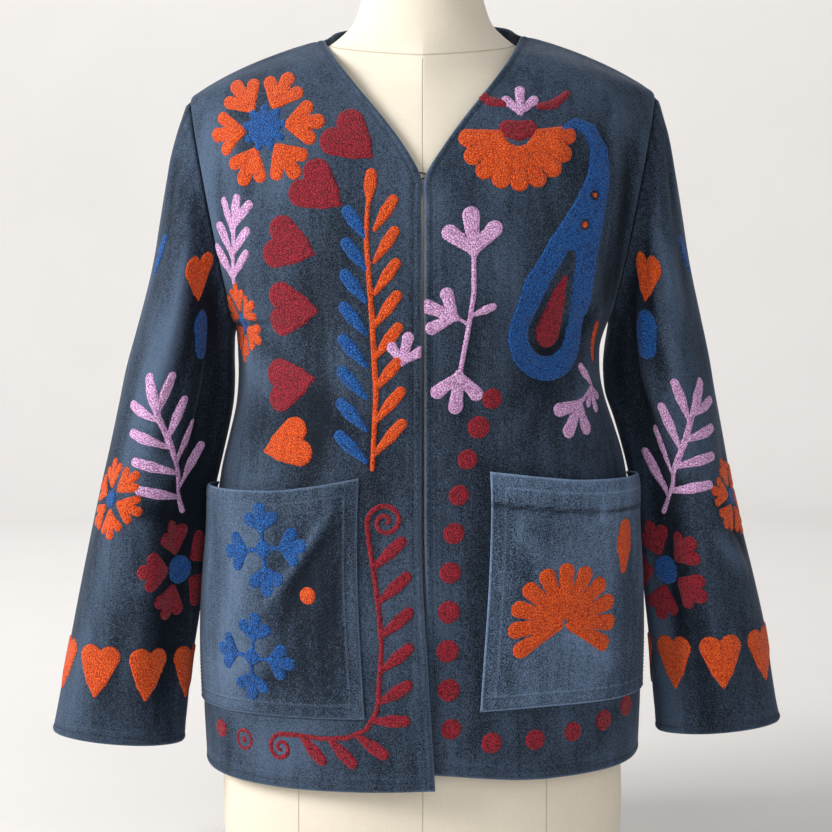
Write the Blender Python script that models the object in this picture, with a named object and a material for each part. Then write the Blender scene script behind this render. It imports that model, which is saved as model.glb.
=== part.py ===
import math

import bmesh
import bpy
import numpy as np

# Velvet jacket on a dress form. +Z up, the front faces -Y, floor at z = 0.
# Lengths in the tables are in millimetres; "forward" is toward the front.

MM = 0.001
WALL = 2.0
POCKET_WALL = 1.8
SEAM_GAP = 0.3
SEAM_PLANE_Y = 2.0

# Shoulder, underarm and centre-front heights
NECK_POINT_X = 85.0
NECK_POINT_Z = 712.0
SHOULDER_TIP_X = 201.0
SHOULDER_TIP_Z = 659.0
UNDERARM_X = 161.0
UNDERARM_Z = 466.0
HEM_Z = 90.0

# Armhole: half depths to the front and back, and how much it narrows upward
ARMHOLE_FRONT_DEPTH = 48.0
ARMHOLE_BACK_DEPTH = 44.0
ARMHOLE_NARROWING = 0.22
ARMHOLE_STEP_DEG = 15

# The wearer's left side hangs a little higher than the right
LIFT_AT_TOP = 4.0
LIFT_AT_HEM = 10.0
LIFT_HALF_SPAN = 120.0

# The shoulder seam bows up between the neck and the tip
SHOULDER_BOW = 8.5
SHOULDER_BLEND = (1.0, 0.72, 0.34, 0.1)

# Body from hem to underarm: height, half width of each side, front and back depth
BODY = {
    "height": (90, 144, 200, 250, 300, 335, 360, 390, 414, 436, 466),
    "right_width": (188, 190.5, 189, 185, 180, 175.5, 170, 162.5, 159, 159, 161),
    "left_width": (188, 190, 188, 184.5, 180.5, 176, 169, 159.5, 153, 152.5, 161),
    "front": (124, 123, 122.5, 122, 122.5, 123, 123.5, 124, 124, 124, 123.5),
    "back": (106, 104, 101, 98, 95, 93, 92.5, 93, 95, 97, 100),
}
BODY_ROWS_BELOW = (90, 116, 144, 180, 216, 252, 288, 318, 345, 372, 397, 420, 443)

# Centre front above the underarm, then the neck edge: height, x, forward
FRONT_EDGE = {
    "height": (466, 500, 540, 584, 596, 610, 628, 636, 652, 676, 695, 704, 712),
    "right_x": (1.2, 1.2, 1.2, 1.6, 6, 15, 28, 33, 45.5, 63.5, 76.5, 82, 85),
    "left_x": (1.2, 1.2, 1.2, 1.6, 7.5, 17, 30.5, 35.5, 48, 66, 77.5, 82, 85),
    "forward": (123.5, 121.5, 116, 105, 102.5, 98, 90, 86, 77, 57, 37, 20, -2),
}
# Centre-front height of each row from the underarm up to the shoulder seam
FRONT_ROW_HEIGHTS = (466, 474, 485, 500, 518, 540, 562, 584, 610, 636, 662, 688, 712)

# Front overlap at the hem: height, edge x of each front, how far each lies out
FRONT_LAP = {
    "height": (90, 150, 200, 250, 300, 466),
    "right_x": (10, 6, 3, 0, -1.2, -1.2),
    "left_x": (4, 3, 2.5, 2, 1.2, 1.2),
    "right_out": (5.5, 5, 4, 1.5, 0, 0),
    "left_out": (-1, -1, -0.5, 0, 0, 0),
}
LAP_REACH = 0.35

# How far each front's hem dips or rises, by share from centre to side
HEM = {
    "share": (0, 0.35, 0.7, 1),
    "right_rise": (-7, -6, -3.5, 0),
    "left_rise": (5, -6, -4, 0),
}
HEM_REACH = 40.0

# Centre back above the underarm: height, how far back
BACK_CENTRE = {
    "height": (466, 540, 600, 660, 700, 733),
    "back": (100, 105, 104.5, 98, 87, 68),
}
BACK_ROW_HEIGHTS = (466, 474, 485, 500, 518, 540, 562, 586, 614, 645, 677, 708, 733)
BACK_NECK_CELLS = 6
BACK_SHOULDER_CELLS = 5

# Curve of a row across a panel: degrees of arc at each armhole step upward
ROW_ARC_DEG = (90, 88, 84, 79, 74, 69, 65, 62, 60, 58, 55, 50, 45)
ROW_FULLNESS = 0.82
# Shares across a front, centre to side; the pocket lies between two of them
FRONT_COLUMNS = (0, 0.09, 0.18, 0.27, 0.36, 0.45, 0.54, 0.63, 0.72, 0.81, 0.89, 0.955, 1)
POCKET_FIRST_COLUMN = 2
POCKET_LAST_COLUMN = 11
POCKET_BOTTOM_ROW = 2
POCKET_UPPER_ROW = 7
# Share of the way across at which each pocket's inner edge runs
POCKET_EDGE = {
    "height": (144, 341, 443),
    "right_share": (0.175, 0.188, 0.18),
    "left_share": (0.149, 0.197, 0.18),
}

# Sleeve from armhole to cuff. Outer and inner edge seen from the front, the
# half depth and how far forward the middle of each ring lies.
SLEEVE = {
    "outer_z": (659, 641, 612, 570, 522, 478, 430, 380, 318, 256, 194, 148, 116),
    "inner_z": (466, 461, 454, 444, 430, 408, 380, 345, 293, 238, 183, 140, 106),
    "right_outer": (201, 209, 217, 224.5, 232.5, 243, 256, 266, 280, 293, 305, 314, 320.5),
    "right_inner": (161, 162.8, 163.8, 164, 163.8, 164.6, 169.2, 177.6, 188.5, 193.5, 201, 205, 207),
    "left_outer": (201, 208.5, 215, 222, 229, 237.5, 247, 256.5, 268, 283, 297, 304, 310),
    "left_inner": (161, 162.2, 161.4, 159.4, 157.6, 158.6, 167.4, 177.6, 188.2, 193.5, 199, 201, 203),
    "depth": (46, 50, 54, 57, 59, 59.5, 58.5, 57, 55, 52, 48, 45, 42),
    "forward": (-2, -2, -2, -1, 0, 2, 5, 8, 12, 15, 17, 18, 18),
}
SLEEVE_RINGS = 19
RING_POINTS = 24

# Largest folds of a sleeve: degrees round from the outer edge over the front,
# half width in degrees, start and end along the sleeve, height out of the cloth
RIGHT_SLEEVE_FOLDS = {
    "angle": (134, 72, 150, 300, 245),
    "half_width": (38, 32, 34, 34, 30),
    "start": (0.02, 0.05, 0.55, 0.10, 0.35),
    "end": (0.92, 0.80, 1.05, 0.60, 0.95),
    "out": (-14.0, 4.5, -3.0, -3.5, 3.0),
}
LEFT_SLEEVE_FOLDS = {
    "angle": (132, 70, 30, 140, 290, 240),
    "half_width": (38, 30, 26, 32, 34, 30),
    "start": (0.02, 0.05, 0.50, 0.55, 0.10, 0.35),
    "end": (0.84, 0.70, 0.80, 1.05, 0.60, 0.95),
    "out": (-14.0, 4.5, -2.5, -3.0, -3.5, 3.0),
}

# Largest folds of the body: share of the way from centre to side, half width,
# lower and upper height, height out of the cloth
FRONT_FOLDS = {
    "across": (0.84, 0.62, 0.36),
    "half_width": (0.13, 0.14, 0.12),
    "low": (380, 60, 120),
    "high": (640, 420, 520),
    "out": (-4.0, 2.5, -2.0),
}
BACK_FOLDS = {
    "across": (0.80, 0.45),
    "half_width": (0.16, 0.20),
    "low": (360, 60),
    "high": (640, 440),
    "out": (-4.0, 3.0),
}

# Pocket mouth from the inner to the outer edge, and how far the pocket stands off
POCKET_MOUTH = {
    "along": (0.0, 0.12, 0.35, 0.6, 0.85, 1.0),
    "height": (341, 337, 331, 329, 330, 331),
}
POCKET_MOUTH_GAPE = 14.0
POCKET_BELLY = 10.0

# Dress form, sole to neck: height, half width, front depth, back depth, roundness
FORM = {
    "height": (0, 6, 60, 110, 170, 230, 285, 330, 380, 430, 470, 510, 545, 580, 610,
               636, 656, 668, 680, 692, 702, 712, 724, 736, 749, 772, 800, 806),
    "half_width": (167, 172, 174, 172, 162, 143, 128, 124, 130, 140, 146, 152, 160, 168, 175,
                   180, 177, 160, 134, 107, 87, 72, 60, 55, 52, 51, 51, 47),
    "front": (98, 104, 106, 105, 101, 94, 87, 85, 91, 103, 111, 112, 109, 101, 92,
              81, 71, 65, 60, 56, 53, 51.5, 50, 48.5, 47.5, 46.5, 46.5, 42.5),
    "back": (90, 95, 97, 96, 91, 84, 79, 78, 82, 87, 91, 93, 94, 93, 90,
             85, 78, 73, 69, 65, 62, 60, 58, 56, 54, 51.5, 50, 46),
    "roundness": (2.3, 2.3, 2.3, 2.3, 2.3, 2.2, 2.1, 2.1, 2.1, 2.1, 2.1, 2.0, 1.9, 1.75, 1.6,
                  1.5, 1.35, 1.25, 1.2, 1.3, 1.5, 1.75, 1.95, 2.0, 2.0, 2.0, 2.0, 2.0),
}
FORM_POINTS = 40

SMOOTH_BELOW_DEG = 40


def smooth_curve(heights, values, at):
    """Smooth curve through table values that never swings past them."""
    xs = np.asarray(heights, float)
    ys = np.asarray(values, float)
    at = np.clip(np.asarray(at, float), xs[0], xs[-1])
    step = np.diff(xs)
    rise = np.diff(ys) / step
    slope = np.zeros(len(xs))
    slope[0] = rise[0]
    slope[-1] = rise[-1]
    for i in range(1, len(xs) - 1):
        if rise[i - 1] * rise[i] > 0:
            before = step[i - 1] + 2 * step[i]
            after = 2 * step[i - 1] + step[i]
            slope[i] = (before + after) / (before / rise[i] + after / rise[i - 1])
    i = np.clip(np.searchsorted(xs, at, side="right") - 1, 0, len(step) - 1)
    t = (at - xs[i]) / step[i]
    keep = (1 + 2 * t) * (1 - t) ** 2
    lead = t * (1 - t) ** 2
    take = t * t * (3 - 2 * t)
    trail = t * t * (t - 1)
    return keep * ys[i] + lead * step[i] * slope[i] + take * ys[i + 1] + trail * step[i] * slope[i + 1]


def ease(t):
    """Soft step from 0 to 1."""
    t = np.clip(t, 0.0, 1.0)
    return t * t * (3 - 2 * t)


def unit(vectors):
    """Vectors of length one."""
    return vectors / np.linalg.norm(vectors, axis=-1, keepdims=True)


def lifted(points):
    """Points with the wearer's left side raised."""
    x = points[..., 0]
    z = points[..., 2]
    side = ease((x + LIFT_HALF_SPAN) / (2 * LIFT_HALF_SPAN))
    low = ease((NECK_POINT_Z - z) / (NECK_POINT_Z - 2 * HEM_Z))
    amount = LIFT_AT_TOP + (LIFT_AT_HEM - LIFT_AT_TOP) * low
    out = points.copy()
    out[..., 2] = z + side * amount
    return out


def grid_normals(grid, ring=False):
    """Normal at each point of a grid of rows; ring grids close along a row."""
    if ring:
        across = np.roll(grid, -1, axis=1) - np.roll(grid, 1, axis=1)
    else:
        across = np.gradient(grid, axis=1)
    along = np.gradient(grid, axis=0)
    return unit(np.cross(across, along))


def make_object(name, vertices, faces, collection, colour):
    """Closed mesh with outward faces, smooth shading and its own material."""
    mesh = bpy.data.meshes.new(name)
    mesh.from_pydata([tuple(v) for v in vertices], [], faces)
    bm = bmesh.new()
    bm.from_mesh(mesh)
    bmesh.ops.triangulate(bm, faces=bm.faces[:])
    bmesh.ops.recalc_face_normals(bm, faces=bm.faces[:])
    if bm.calc_volume(signed=True) < 0:
        bmesh.ops.reverse_faces(bm, faces=bm.faces[:])
    bm.to_mesh(mesh)
    bm.free()
    mesh.shade_smooth()
    mesh.set_sharp_from_angle(angle=math.radians(SMOOTH_BELOW_DEG))
    material = bpy.data.materials.new(name + "_cloth")
    material.use_nodes = True
    shader = material.node_tree.nodes["Principled BSDF"]
    shader.inputs["Base Color"].default_value = (*colour, 1.0)
    shader.inputs["Roughness"].default_value = 0.85
    mesh.materials.append(material)
    made = bpy.data.objects.new(name, mesh)
    collection.objects.link(made)
    return made


def cloth_shell(name, outer, inner, collection, colour, ring=False):
    """Closed wall between an outer and an inner grid of points."""
    rows, columns = outer.shape[:2]
    vertices = np.concatenate([outer.reshape(-1, 3), inner.reshape(-1, 3)]) * MM
    half = rows * columns
    last = columns if ring else columns - 1
    faces = []
    for r in range(rows - 1):
        for c in range(last):
            a = r * columns + c
            b = r * columns + (c + 1) % columns
            faces.append((a, b, b + columns, a + columns))
            faces.append((half + a, half + a + columns, half + b + columns, half + b))
    for r in (0, rows - 1):
        for c in range(last):
            a = r * columns + c
            b = r * columns + (c + 1) % columns
            faces.append((a, b, half + b, half + a))
    if not ring:
        for c in (0, columns - 1):
            for r in range(rows - 1):
                a = r * columns + c
                b = a + columns
                faces.append((a, b, half + b, half + a))
    return make_object(name, vertices, faces, collection, colour)


def armhole_point(degrees, side):
    """Armhole seam: 0 at the shoulder tip, 90 at the front, 180 at the underarm."""
    turn = math.radians(degrees)
    up = math.cos(turn)
    front = math.sin(turn)
    middle_x = (SHOULDER_TIP_X + UNDERARM_X) / 2
    middle_z = (SHOULDER_TIP_Z + UNDERARM_Z) / 2
    depth = ARMHOLE_FRONT_DEPTH if front > 0 else ARMHOLE_BACK_DEPTH
    x = middle_x + (SHOULDER_TIP_X - middle_x) * up
    y = SEAM_PLANE_Y - depth * (1 - ARMHOLE_NARROWING * up) * front
    z = middle_z + (SHOULDER_TIP_Z - middle_z) * up
    return np.array([side * x, y, z])


def armhole_outward(degrees, side, toward_body):
    """Direction out of the cloth at the armhole seam, for the body or the sleeve."""
    turn = math.radians(degrees)
    up = unit(np.array([side * (SHOULDER_TIP_X - UNDERARM_X), 0.0, SHOULDER_TIP_Z - UNDERARM_Z]))
    radial = up * math.cos(turn) + np.array([0.0, -1.0, 0.0]) * math.sin(turn)
    under = float(ease((-math.cos(turn) - 0.4) / 0.6))
    sideways = np.array([side if toward_body else -side, 0.0, 0.0])
    return unit(radial * (1 - under) + sideways * under)


def armhole_axis(side):
    """Direction across the armhole seam, from the body into the sleeve."""
    return unit(np.array([side * (SHOULDER_TIP_Z - UNDERARM_Z), 0.0, UNDERARM_X - SHOULDER_TIP_X]))


def fold_height(across, height, folds):
    """Sum of the soft folds at a share across and a height."""
    total = np.zeros(np.broadcast(across, height).shape)
    for i, place in enumerate(folds["across"]):
        side = np.clip(np.abs(across - place) / folds["half_width"][i], 0, 1)
        run = (height - folds["low"][i]) / (folds["high"][i] - folds["low"][i])
        along = np.sin(np.pi * np.clip(run, 0, 1))
        total = total + folds["out"][i] * (1 - ease(side)) * along
    return total


def row_between(inner, outer, arc_deg, share):
    """Points of one row, from the inner edge point to the outer edge point."""
    arc = math.radians(arc_deg)
    sideways = np.sin(share * arc) / math.sin(arc)
    bow = np.clip((np.cos(share * arc) - math.cos(arc)) / (1 - math.cos(arc)), 0, 1) ** ROW_FULLNESS
    x = inner[0] + (outer[0] - inner[0]) * sideways
    y = outer[1] + (inner[1] - outer[1]) * bow
    z = inner[2] + (outer[2] - inner[2]) * sideways
    return np.stack([x, y, z], axis=-1)


def shoulder_bow(reach):
    """How far the shoulder seam stands above a straight line, neck 0 to tip 1."""
    return SHOULDER_BOW * np.sqrt(np.sin(math.pi * np.clip(reach, 0, 1) ** 1.3))


def front_shares(height, wearer):
    """Shares across a front at a height, bent so that a column runs up the pocket's edge."""
    base = np.array(FRONT_COLUMNS, float)
    line = base[POCKET_FIRST_COLUMN]
    edge = float(smooth_curve(POCKET_EDGE["height"], POCKET_EDGE[wearer + "_share"], height))
    beyond = edge + (base - line) * (1 - edge) / (1 - line)
    return np.where(base <= line, base * edge / line, beyond)


def front_row(row, side):
    """One row of a front, counted from the hem, from centre to side."""
    wearer = "right" if side < 0 else "left"
    below = len(BODY_ROWS_BELOW)
    height = BODY_ROWS_BELOW[row] if row < below else FRONT_ROW_HEIGHTS[row - below]
    share = front_shares(height, wearer)
    if row < below:
        depth = float(smooth_curve(BODY["height"], BODY["front"], height))
        width = float(smooth_curve(BODY["height"], BODY[wearer + "_width"], height))
        outer = np.array([side * width, SEAM_PLANE_Y, height])
        arc = ROW_ARC_DEG[0]
        edge_x = float(smooth_curve(FRONT_LAP["height"], FRONT_LAP[wearer + "_x"], height))
        out = float(smooth_curve(FRONT_LAP["height"], FRONT_LAP[wearer + "_out"], height))
        inner = np.array([edge_x, -depth, height])
    else:
        step = row - below
        outer = armhole_point(180 - step * ARMHOLE_STEP_DEG, side)
        arc = ROW_ARC_DEG[step]
        depth = float(smooth_curve(FRONT_EDGE["height"], FRONT_EDGE["forward"], height))
        edge_x = side * float(smooth_curve(FRONT_EDGE["height"], FRONT_EDGE[wearer + "_x"], height))
        out = 0.0
        inner = np.array([edge_x, -depth, height])
    points = row_between(inner, outer, arc, share)
    near_edge = 1 - ease(share / LAP_REACH)
    points[:, 1] -= out * near_edge
    hem_rise = smooth_curve(HEM["share"], HEM[wearer + "_rise"], share)
    points[:, 2] += hem_rise * (1 - ease((height - HEM_Z) / HEM_REACH))
    down = below + len(FRONT_ROW_HEIGHTS) - 1 - row
    if down < len(SHOULDER_BLEND):
        reach = (points[:, 0] - inner[0]) / (outer[0] - inner[0])
        points[:, 2] += shoulder_bow(reach) * SHOULDER_BLEND[down]
    return points


def front_grid(side):
    """Outer surface of a front with its folds."""
    rows = len(BODY_ROWS_BELOW) + len(FRONT_ROW_HEIGHTS)
    grid = np.array([front_row(r, side) for r in range(rows)])
    normals = grid_normals(grid) * side
    shares = np.array(FRONT_COLUMNS, float)
    edges = ease(shares / 0.12) * ease((1 - shares) / 0.12)
    push = fold_height(shares[None, :], grid[..., 2], FRONT_FOLDS) * edges[None, :]
    return grid + normals * push[..., None]


def shoulder_outward(side):
    """Direction out of the cloth along the shoulder seam."""
    rise = NECK_POINT_Z - SHOULDER_TIP_Z
    run = SHOULDER_TIP_X - NECK_POINT_X
    return unit(np.array([side * rise, 0.0, run]))


def make_front(name, side, collection, colour):
    """A front from the centre edge to the side seam and armhole."""
    outer = front_grid(side)
    normals = grid_normals(outer) * side
    below = len(BODY_ROWS_BELOW)
    normals[:below + 1, -1] = (side, 0.0, 0.0)
    normals[-1, :] = shoulder_outward(side)
    for step in range(1, len(FRONT_ROW_HEIGHTS)):
        degrees = 180 - step * ARMHOLE_STEP_DEG
        normals[below + step, -1] = armhole_outward(degrees, side, True)
    outer[:below + 1, -1, 1] -= SEAM_GAP / 2
    outer[-1, :, 1] -= SEAM_GAP / 2
    outer[below:, -1] -= armhole_axis(side) * SEAM_GAP / 2
    inner = outer - normals * WALL
    return cloth_shell(name, lifted(outer), lifted(inner), collection, colour)


def back_top_row():
    """Both shoulder seams and the back neck, from the wearer's right to left."""
    reach = np.linspace(0, 1, BACK_SHOULDER_CELLS + 1)
    shoulder_x = SHOULDER_TIP_X + (NECK_POINT_X - SHOULDER_TIP_X) * reach
    shoulder_z = SHOULDER_TIP_Z + (NECK_POINT_Z - SHOULDER_TIP_Z) * reach
    shoulder_z = shoulder_z + shoulder_bow(1 - reach)
    right = np.stack([-shoulder_x, np.full(len(reach), SEAM_PLANE_Y), shoulder_z], axis=-1)
    turn = np.linspace(-math.pi / 2, math.pi / 2, BACK_NECK_CELLS + 1)
    centre_back = BACK_CENTRE["back"][-1]
    neck_rise = BACK_CENTRE["height"][-1] - NECK_POINT_Z
    neck_y = SEAM_PLANE_Y + (centre_back - SEAM_PLANE_Y) * np.cos(turn) ** 0.8
    neck_z = NECK_POINT_Z + neck_rise * np.cos(turn) ** 0.8
    neck = np.stack([NECK_POINT_X * np.sin(turn), neck_y, neck_z], axis=-1)
    left = right[::-1].copy()
    left[:, 0] *= -1
    return np.concatenate([right, neck[1:-1], left])


def back_columns():
    """Signed shares across the back, finer at the neck, -1 and 1 at the sides."""
    neck_share = NECK_POINT_X / SHOULDER_TIP_X
    shoulder = np.linspace(1, neck_share, BACK_SHOULDER_CELLS + 1)
    turn = np.linspace(-math.pi / 2, math.pi / 2, BACK_NECK_CELLS + 1)
    neck = neck_share * np.sin(turn)
    return np.concatenate([-shoulder, neck[1:-1], shoulder[::-1]])


def back_row(row, shares):
    """One row of the back, counted from the hem, before the top is blended in."""
    below = len(BODY_ROWS_BELOW)
    if row < below:
        height = BODY_ROWS_BELOW[row]
        depth = float(smooth_curve(BODY["height"], BODY["back"], height))
        right = float(smooth_curve(BODY["height"], BODY["right_width"], height))
        left = float(smooth_curve(BODY["height"], BODY["left_width"], height))
        outer = np.array([1.0, SEAM_PLANE_Y, height])
        arc = ROW_ARC_DEG[0]
    else:
        step = row - below
        height = BACK_ROW_HEIGHTS[step]
        depth = float(smooth_curve(BACK_CENTRE["height"], BACK_CENTRE["back"], height))
        outer = armhole_point(180 + step * ARMHOLE_STEP_DEG, 1)
        right = left = 1.0
        arc = ROW_ARC_DEG[step]
    centre = np.array([0.0, depth, height])
    points = row_between(centre, outer, arc, np.abs(shares))
    points[:, 0] *= np.where(shares < 0, -right, left)
    return points


def back_grid():
    """Outer surface of the back with its folds."""
    shares = back_columns()
    rows = len(BODY_ROWS_BELOW) + len(BACK_ROW_HEIGHTS)
    grid = np.array([back_row(r, shares) for r in range(rows)])
    difference = back_top_row() - grid[-1]
    for down, weight in enumerate(SHOULDER_BLEND):
        grid[rows - 1 - down] += difference * weight
    normals = grid_normals(grid) * -1
    shares_abs = np.abs(shares)
    edges = ease((1 - shares_abs) / 0.12)
    push = fold_height(shares_abs[None, :], grid[..., 2], BACK_FOLDS) * edges[None, :]
    return grid + normals * push[..., None]


def make_back(name, collection, colour):
    """The back from side seam to side seam, up to the shoulders and neck."""
    outer = back_grid()
    normals = grid_normals(outer) * -1
    below = len(BODY_ROWS_BELOW)
    shoulder = BACK_SHOULDER_CELLS + 1
    for side, column in ((-1, 0), (1, -1)):
        normals[:below + 1, column] = (side, 0.0, 0.0)
        outer[:below + 1, column, 1] += SEAM_GAP / 2
        span = slice(0, shoulder) if side < 0 else slice(-shoulder, None)
        normals[-1, span] = shoulder_outward(side)
        outer[-1, span, 1] += SEAM_GAP / 2
        for step in range(1, len(BACK_ROW_HEIGHTS)):
            degrees = 180 + step * ARMHOLE_STEP_DEG
            normals[below + step, column] = armhole_outward(degrees, side, True)
        outer[below:, column] -= armhole_axis(side) * SEAM_GAP / 2
    inner = outer - normals * WALL
    return cloth_shell(name, lifted(outer), lifted(inner), collection, colour)


def sleeve_grid(side):
    """Rings of a sleeve from the armhole to the cuff, with the largest folds."""
    wearer = "right" if side < 0 else "left"
    folds = RIGHT_SLEEVE_FOLDS if side < 0 else LEFT_SLEEVE_FOLDS
    stations = np.linspace(0, 1, len(SLEEVE["depth"]))
    places = np.linspace(0, 1, SLEEVE_RINGS)
    column = {
        key: smooth_curve(stations, SLEEVE[key], places)
        for key in ("outer_z", "inner_z", wearer + "_outer", wearer + "_inner", "depth", "forward")
    }
    degrees = np.arange(RING_POINTS) * 360 / RING_POINTS
    turn = np.radians(degrees)
    rings = []
    for i, place in enumerate(places):
        outer_edge = np.array([side * column[wearer + "_outer"][i], column["outer_z"][i]])
        inner_edge = np.array([side * column[wearer + "_inner"][i], column["inner_z"][i]])
        middle = (outer_edge + inner_edge) / 2
        reach = (outer_edge - inner_edge) / 2
        narrowing = ARMHOLE_NARROWING * (1 - ease(place / 0.35))
        depth = column["depth"][i] * (1 - narrowing * np.cos(turn)) * np.sin(turn)
        x = middle[0] + reach[0] * np.cos(turn)
        y = -column["forward"][i] - depth
        z = middle[1] + reach[1] * np.cos(turn)
        rings.append(np.stack([x, y, z], axis=-1))
    rings = np.array(rings)
    rings[0] = [armhole_point(d, side) for d in degrees]
    normals = grid_normals(rings, ring=True) * side
    push = np.zeros(rings.shape[:2])
    for i, angle in enumerate(folds["angle"]):
        apart = np.abs((degrees - angle + 180) % 360 - 180) / folds["half_width"][i]
        run = (places - folds["start"][i]) / (folds["end"][i] - folds["start"][i])
        along = np.sin(np.pi * np.clip(run, 0, 1))
        push += folds["out"][i] * along[:, None] * (1 - ease(apart))[None, :]
    return rings + normals * push[..., None]


def make_sleeve(name, side, collection, colour):
    """A hollow set-in sleeve, open at the armhole and the cuff."""
    outer = sleeve_grid(side)
    normals = grid_normals(outer, ring=True) * side
    for i in range(RING_POINTS):
        degrees = i * 360 / RING_POINTS
        normals[0, i] = armhole_outward(degrees, side, False)
    outer[0] += armhole_axis(side) * SEAM_GAP / 2
    inner = outer - normals * WALL
    return cloth_shell(name, lifted(outer), lifted(inner), collection, colour, ring=True)


def make_pocket(name, side, collection, colour):
    """Patch pocket made from points of its front, moved out, with a gaping mouth."""
    front = front_grid(side)
    normals = grid_normals(front) * side
    columns = slice(POCKET_FIRST_COLUMN, POCKET_LAST_COLUMN + 1)
    rows = slice(POCKET_BOTTOM_ROW, POCKET_UPPER_ROW + 1)
    along = np.linspace(0, 1, POCKET_LAST_COLUMN - POCKET_FIRST_COLUMN + 1)
    mouth = smooth_curve(POCKET_MOUTH["along"], POCKET_MOUTH["height"], along)
    low = BODY_ROWS_BELOW[POCKET_UPPER_ROW]
    high = BODY_ROWS_BELOW[POCKET_UPPER_ROW + 1]
    part_way = ((mouth - low) / (high - low))[:, None]

    def with_mouth(values):
        under = values[POCKET_UPPER_ROW, columns]
        over = values[POCKET_UPPER_ROW + 1, columns]
        top = under * (1 - part_way) + over * part_way
        return np.concatenate([values[rows, columns], top[None]])

    points = with_mouth(front)
    normals = unit(with_mouth(normals))
    bottom = BODY_ROWS_BELOW[POCKET_BOTTOM_ROW]
    up = (points[..., 2] - bottom) / (mouth[None, :] - bottom)
    hump = np.sin(np.pi * along) ** 0.5
    belly = POCKET_BELLY * np.sin(np.pi * np.clip(up * 0.62, 0, 1)) ** 0.8
    gape = POCKET_MOUTH_GAPE * ease((up - 0.45) / 0.55)
    stand_off = SEAM_GAP + hump[None, :] * np.maximum(belly, gape)
    inner = points + normals * stand_off[..., None]
    outer = inner + normals * POCKET_WALL
    return cloth_shell(name, lifted(outer), lifted(inner), collection, colour)


def make_form(name, collection, colour):
    """Closed limbless dress form, flat underneath and at the neck."""
    turn = np.arange(FORM_POINTS) * 2 * math.pi / FORM_POINTS
    rings = []
    for height, width, front, back, roundness in zip(*FORM.values()):
        power = 2 / roundness
        sideways = np.sign(np.cos(turn)) * np.abs(np.cos(turn)) ** power
        backward = np.sign(np.sin(turn)) * np.abs(np.sin(turn)) ** power
        depth = np.where(backward > 0, back, front)
        z = np.full(FORM_POINTS, float(height))
        rings.append(np.stack([width * sideways, depth * backward, z], axis=-1))
    vertices = np.concatenate(rings) * MM
    faces = []
    for r in range(len(rings) - 1):
        for c in range(FORM_POINTS):
            a = r * FORM_POINTS + c
            b = r * FORM_POINTS + (c + 1) % FORM_POINTS
            faces.append((a, b, b + FORM_POINTS, a + FORM_POINTS))
    faces.append(tuple(reversed(range(FORM_POINTS))))
    top = (len(rings) - 1) * FORM_POINTS
    faces.append(tuple(range(top, top + FORM_POINTS)))
    return make_object(name, vertices, faces, collection, colour)


for thing in list(bpy.data.objects):
    bpy.data.objects.remove(thing, do_unlink=True)

jacket = bpy.data.collections.new("velvet_jacket_on_form")
bpy.context.scene.collection.children.link(jacket)

VELVET = (0.070, 0.105, 0.160)
POCKET_VELVET = (0.100, 0.130, 0.175)
LINEN = (0.83, 0.78, 0.68)

make_front("front_right", -1, jacket, VELVET)
make_front("front_left", 1, jacket, VELVET)
make_back("back", jacket, VELVET)
make_sleeve("sleeve_right", -1, jacket, VELVET)
make_sleeve("sleeve_left", 1, jacket, VELVET)
make_pocket("pocket_right", -1, jacket, POCKET_VELVET)
make_pocket("pocket_left", 1, jacket, POCKET_VELVET)
make_form("dress_form", jacket, LINEN)
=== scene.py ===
import math

import bpy
import numpy as np
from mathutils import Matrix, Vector
from mathutils.bvhtree import BVHTree


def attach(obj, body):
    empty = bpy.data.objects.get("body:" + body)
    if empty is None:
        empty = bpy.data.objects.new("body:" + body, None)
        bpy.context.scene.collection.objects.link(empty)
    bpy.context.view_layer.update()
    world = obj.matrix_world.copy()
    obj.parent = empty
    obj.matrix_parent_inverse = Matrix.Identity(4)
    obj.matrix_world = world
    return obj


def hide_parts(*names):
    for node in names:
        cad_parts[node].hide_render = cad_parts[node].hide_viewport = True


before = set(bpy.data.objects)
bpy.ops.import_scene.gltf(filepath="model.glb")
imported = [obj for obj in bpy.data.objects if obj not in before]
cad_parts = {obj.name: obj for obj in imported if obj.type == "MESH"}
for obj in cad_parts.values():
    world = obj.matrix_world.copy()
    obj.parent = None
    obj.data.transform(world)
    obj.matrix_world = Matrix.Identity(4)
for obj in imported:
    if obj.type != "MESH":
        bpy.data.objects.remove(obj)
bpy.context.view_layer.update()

# Dress form
# A padded limbless torso under tight cream linen, sewn in long panels with a seam
# down the front, a seam round the base of the neck and two more over the hips.

MM = 0.001
FORM = {
    "height": (0, 6, 60, 110, 170, 230, 285, 330, 380, 430, 470, 510, 545, 580, 610,
               636, 656, 668, 680, 692, 702, 712, 724, 736, 749, 772, 800, 806),
    "half_width": (167, 172, 174, 172, 162, 143, 128, 124, 130, 140, 146, 152, 160, 168, 175,
                   180, 177, 160, 134, 107, 87, 72, 60, 55, 52, 51, 51, 47),
    "front": (98, 104, 106, 105, 101, 94, 87, 85, 91, 103, 111, 112, 109, 101, 92,
              81, 71, 65, 60, 56, 53, 51.5, 50, 48.5, 47.5, 46.5, 46.5, 42.5),
    "back": (90, 95, 97, 96, 91, 84, 79, 78, 82, 87, 91, 93, 94, 93, 90,
             85, 78, 73, 69, 65, 62, 60, 58, 56, 54, 51.5, 50, 46),
    "roundness": (2.3, 2.3, 2.3, 2.3, 2.3, 2.2, 2.1, 2.1, 2.1, 2.1, 2.1, 2.0, 1.9, 1.75, 1.6,
                  1.5, 1.35, 1.25, 1.2, 1.3, 1.5, 1.75, 1.95, 2.0, 2.0, 2.0, 2.0, 2.0),
}


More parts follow.
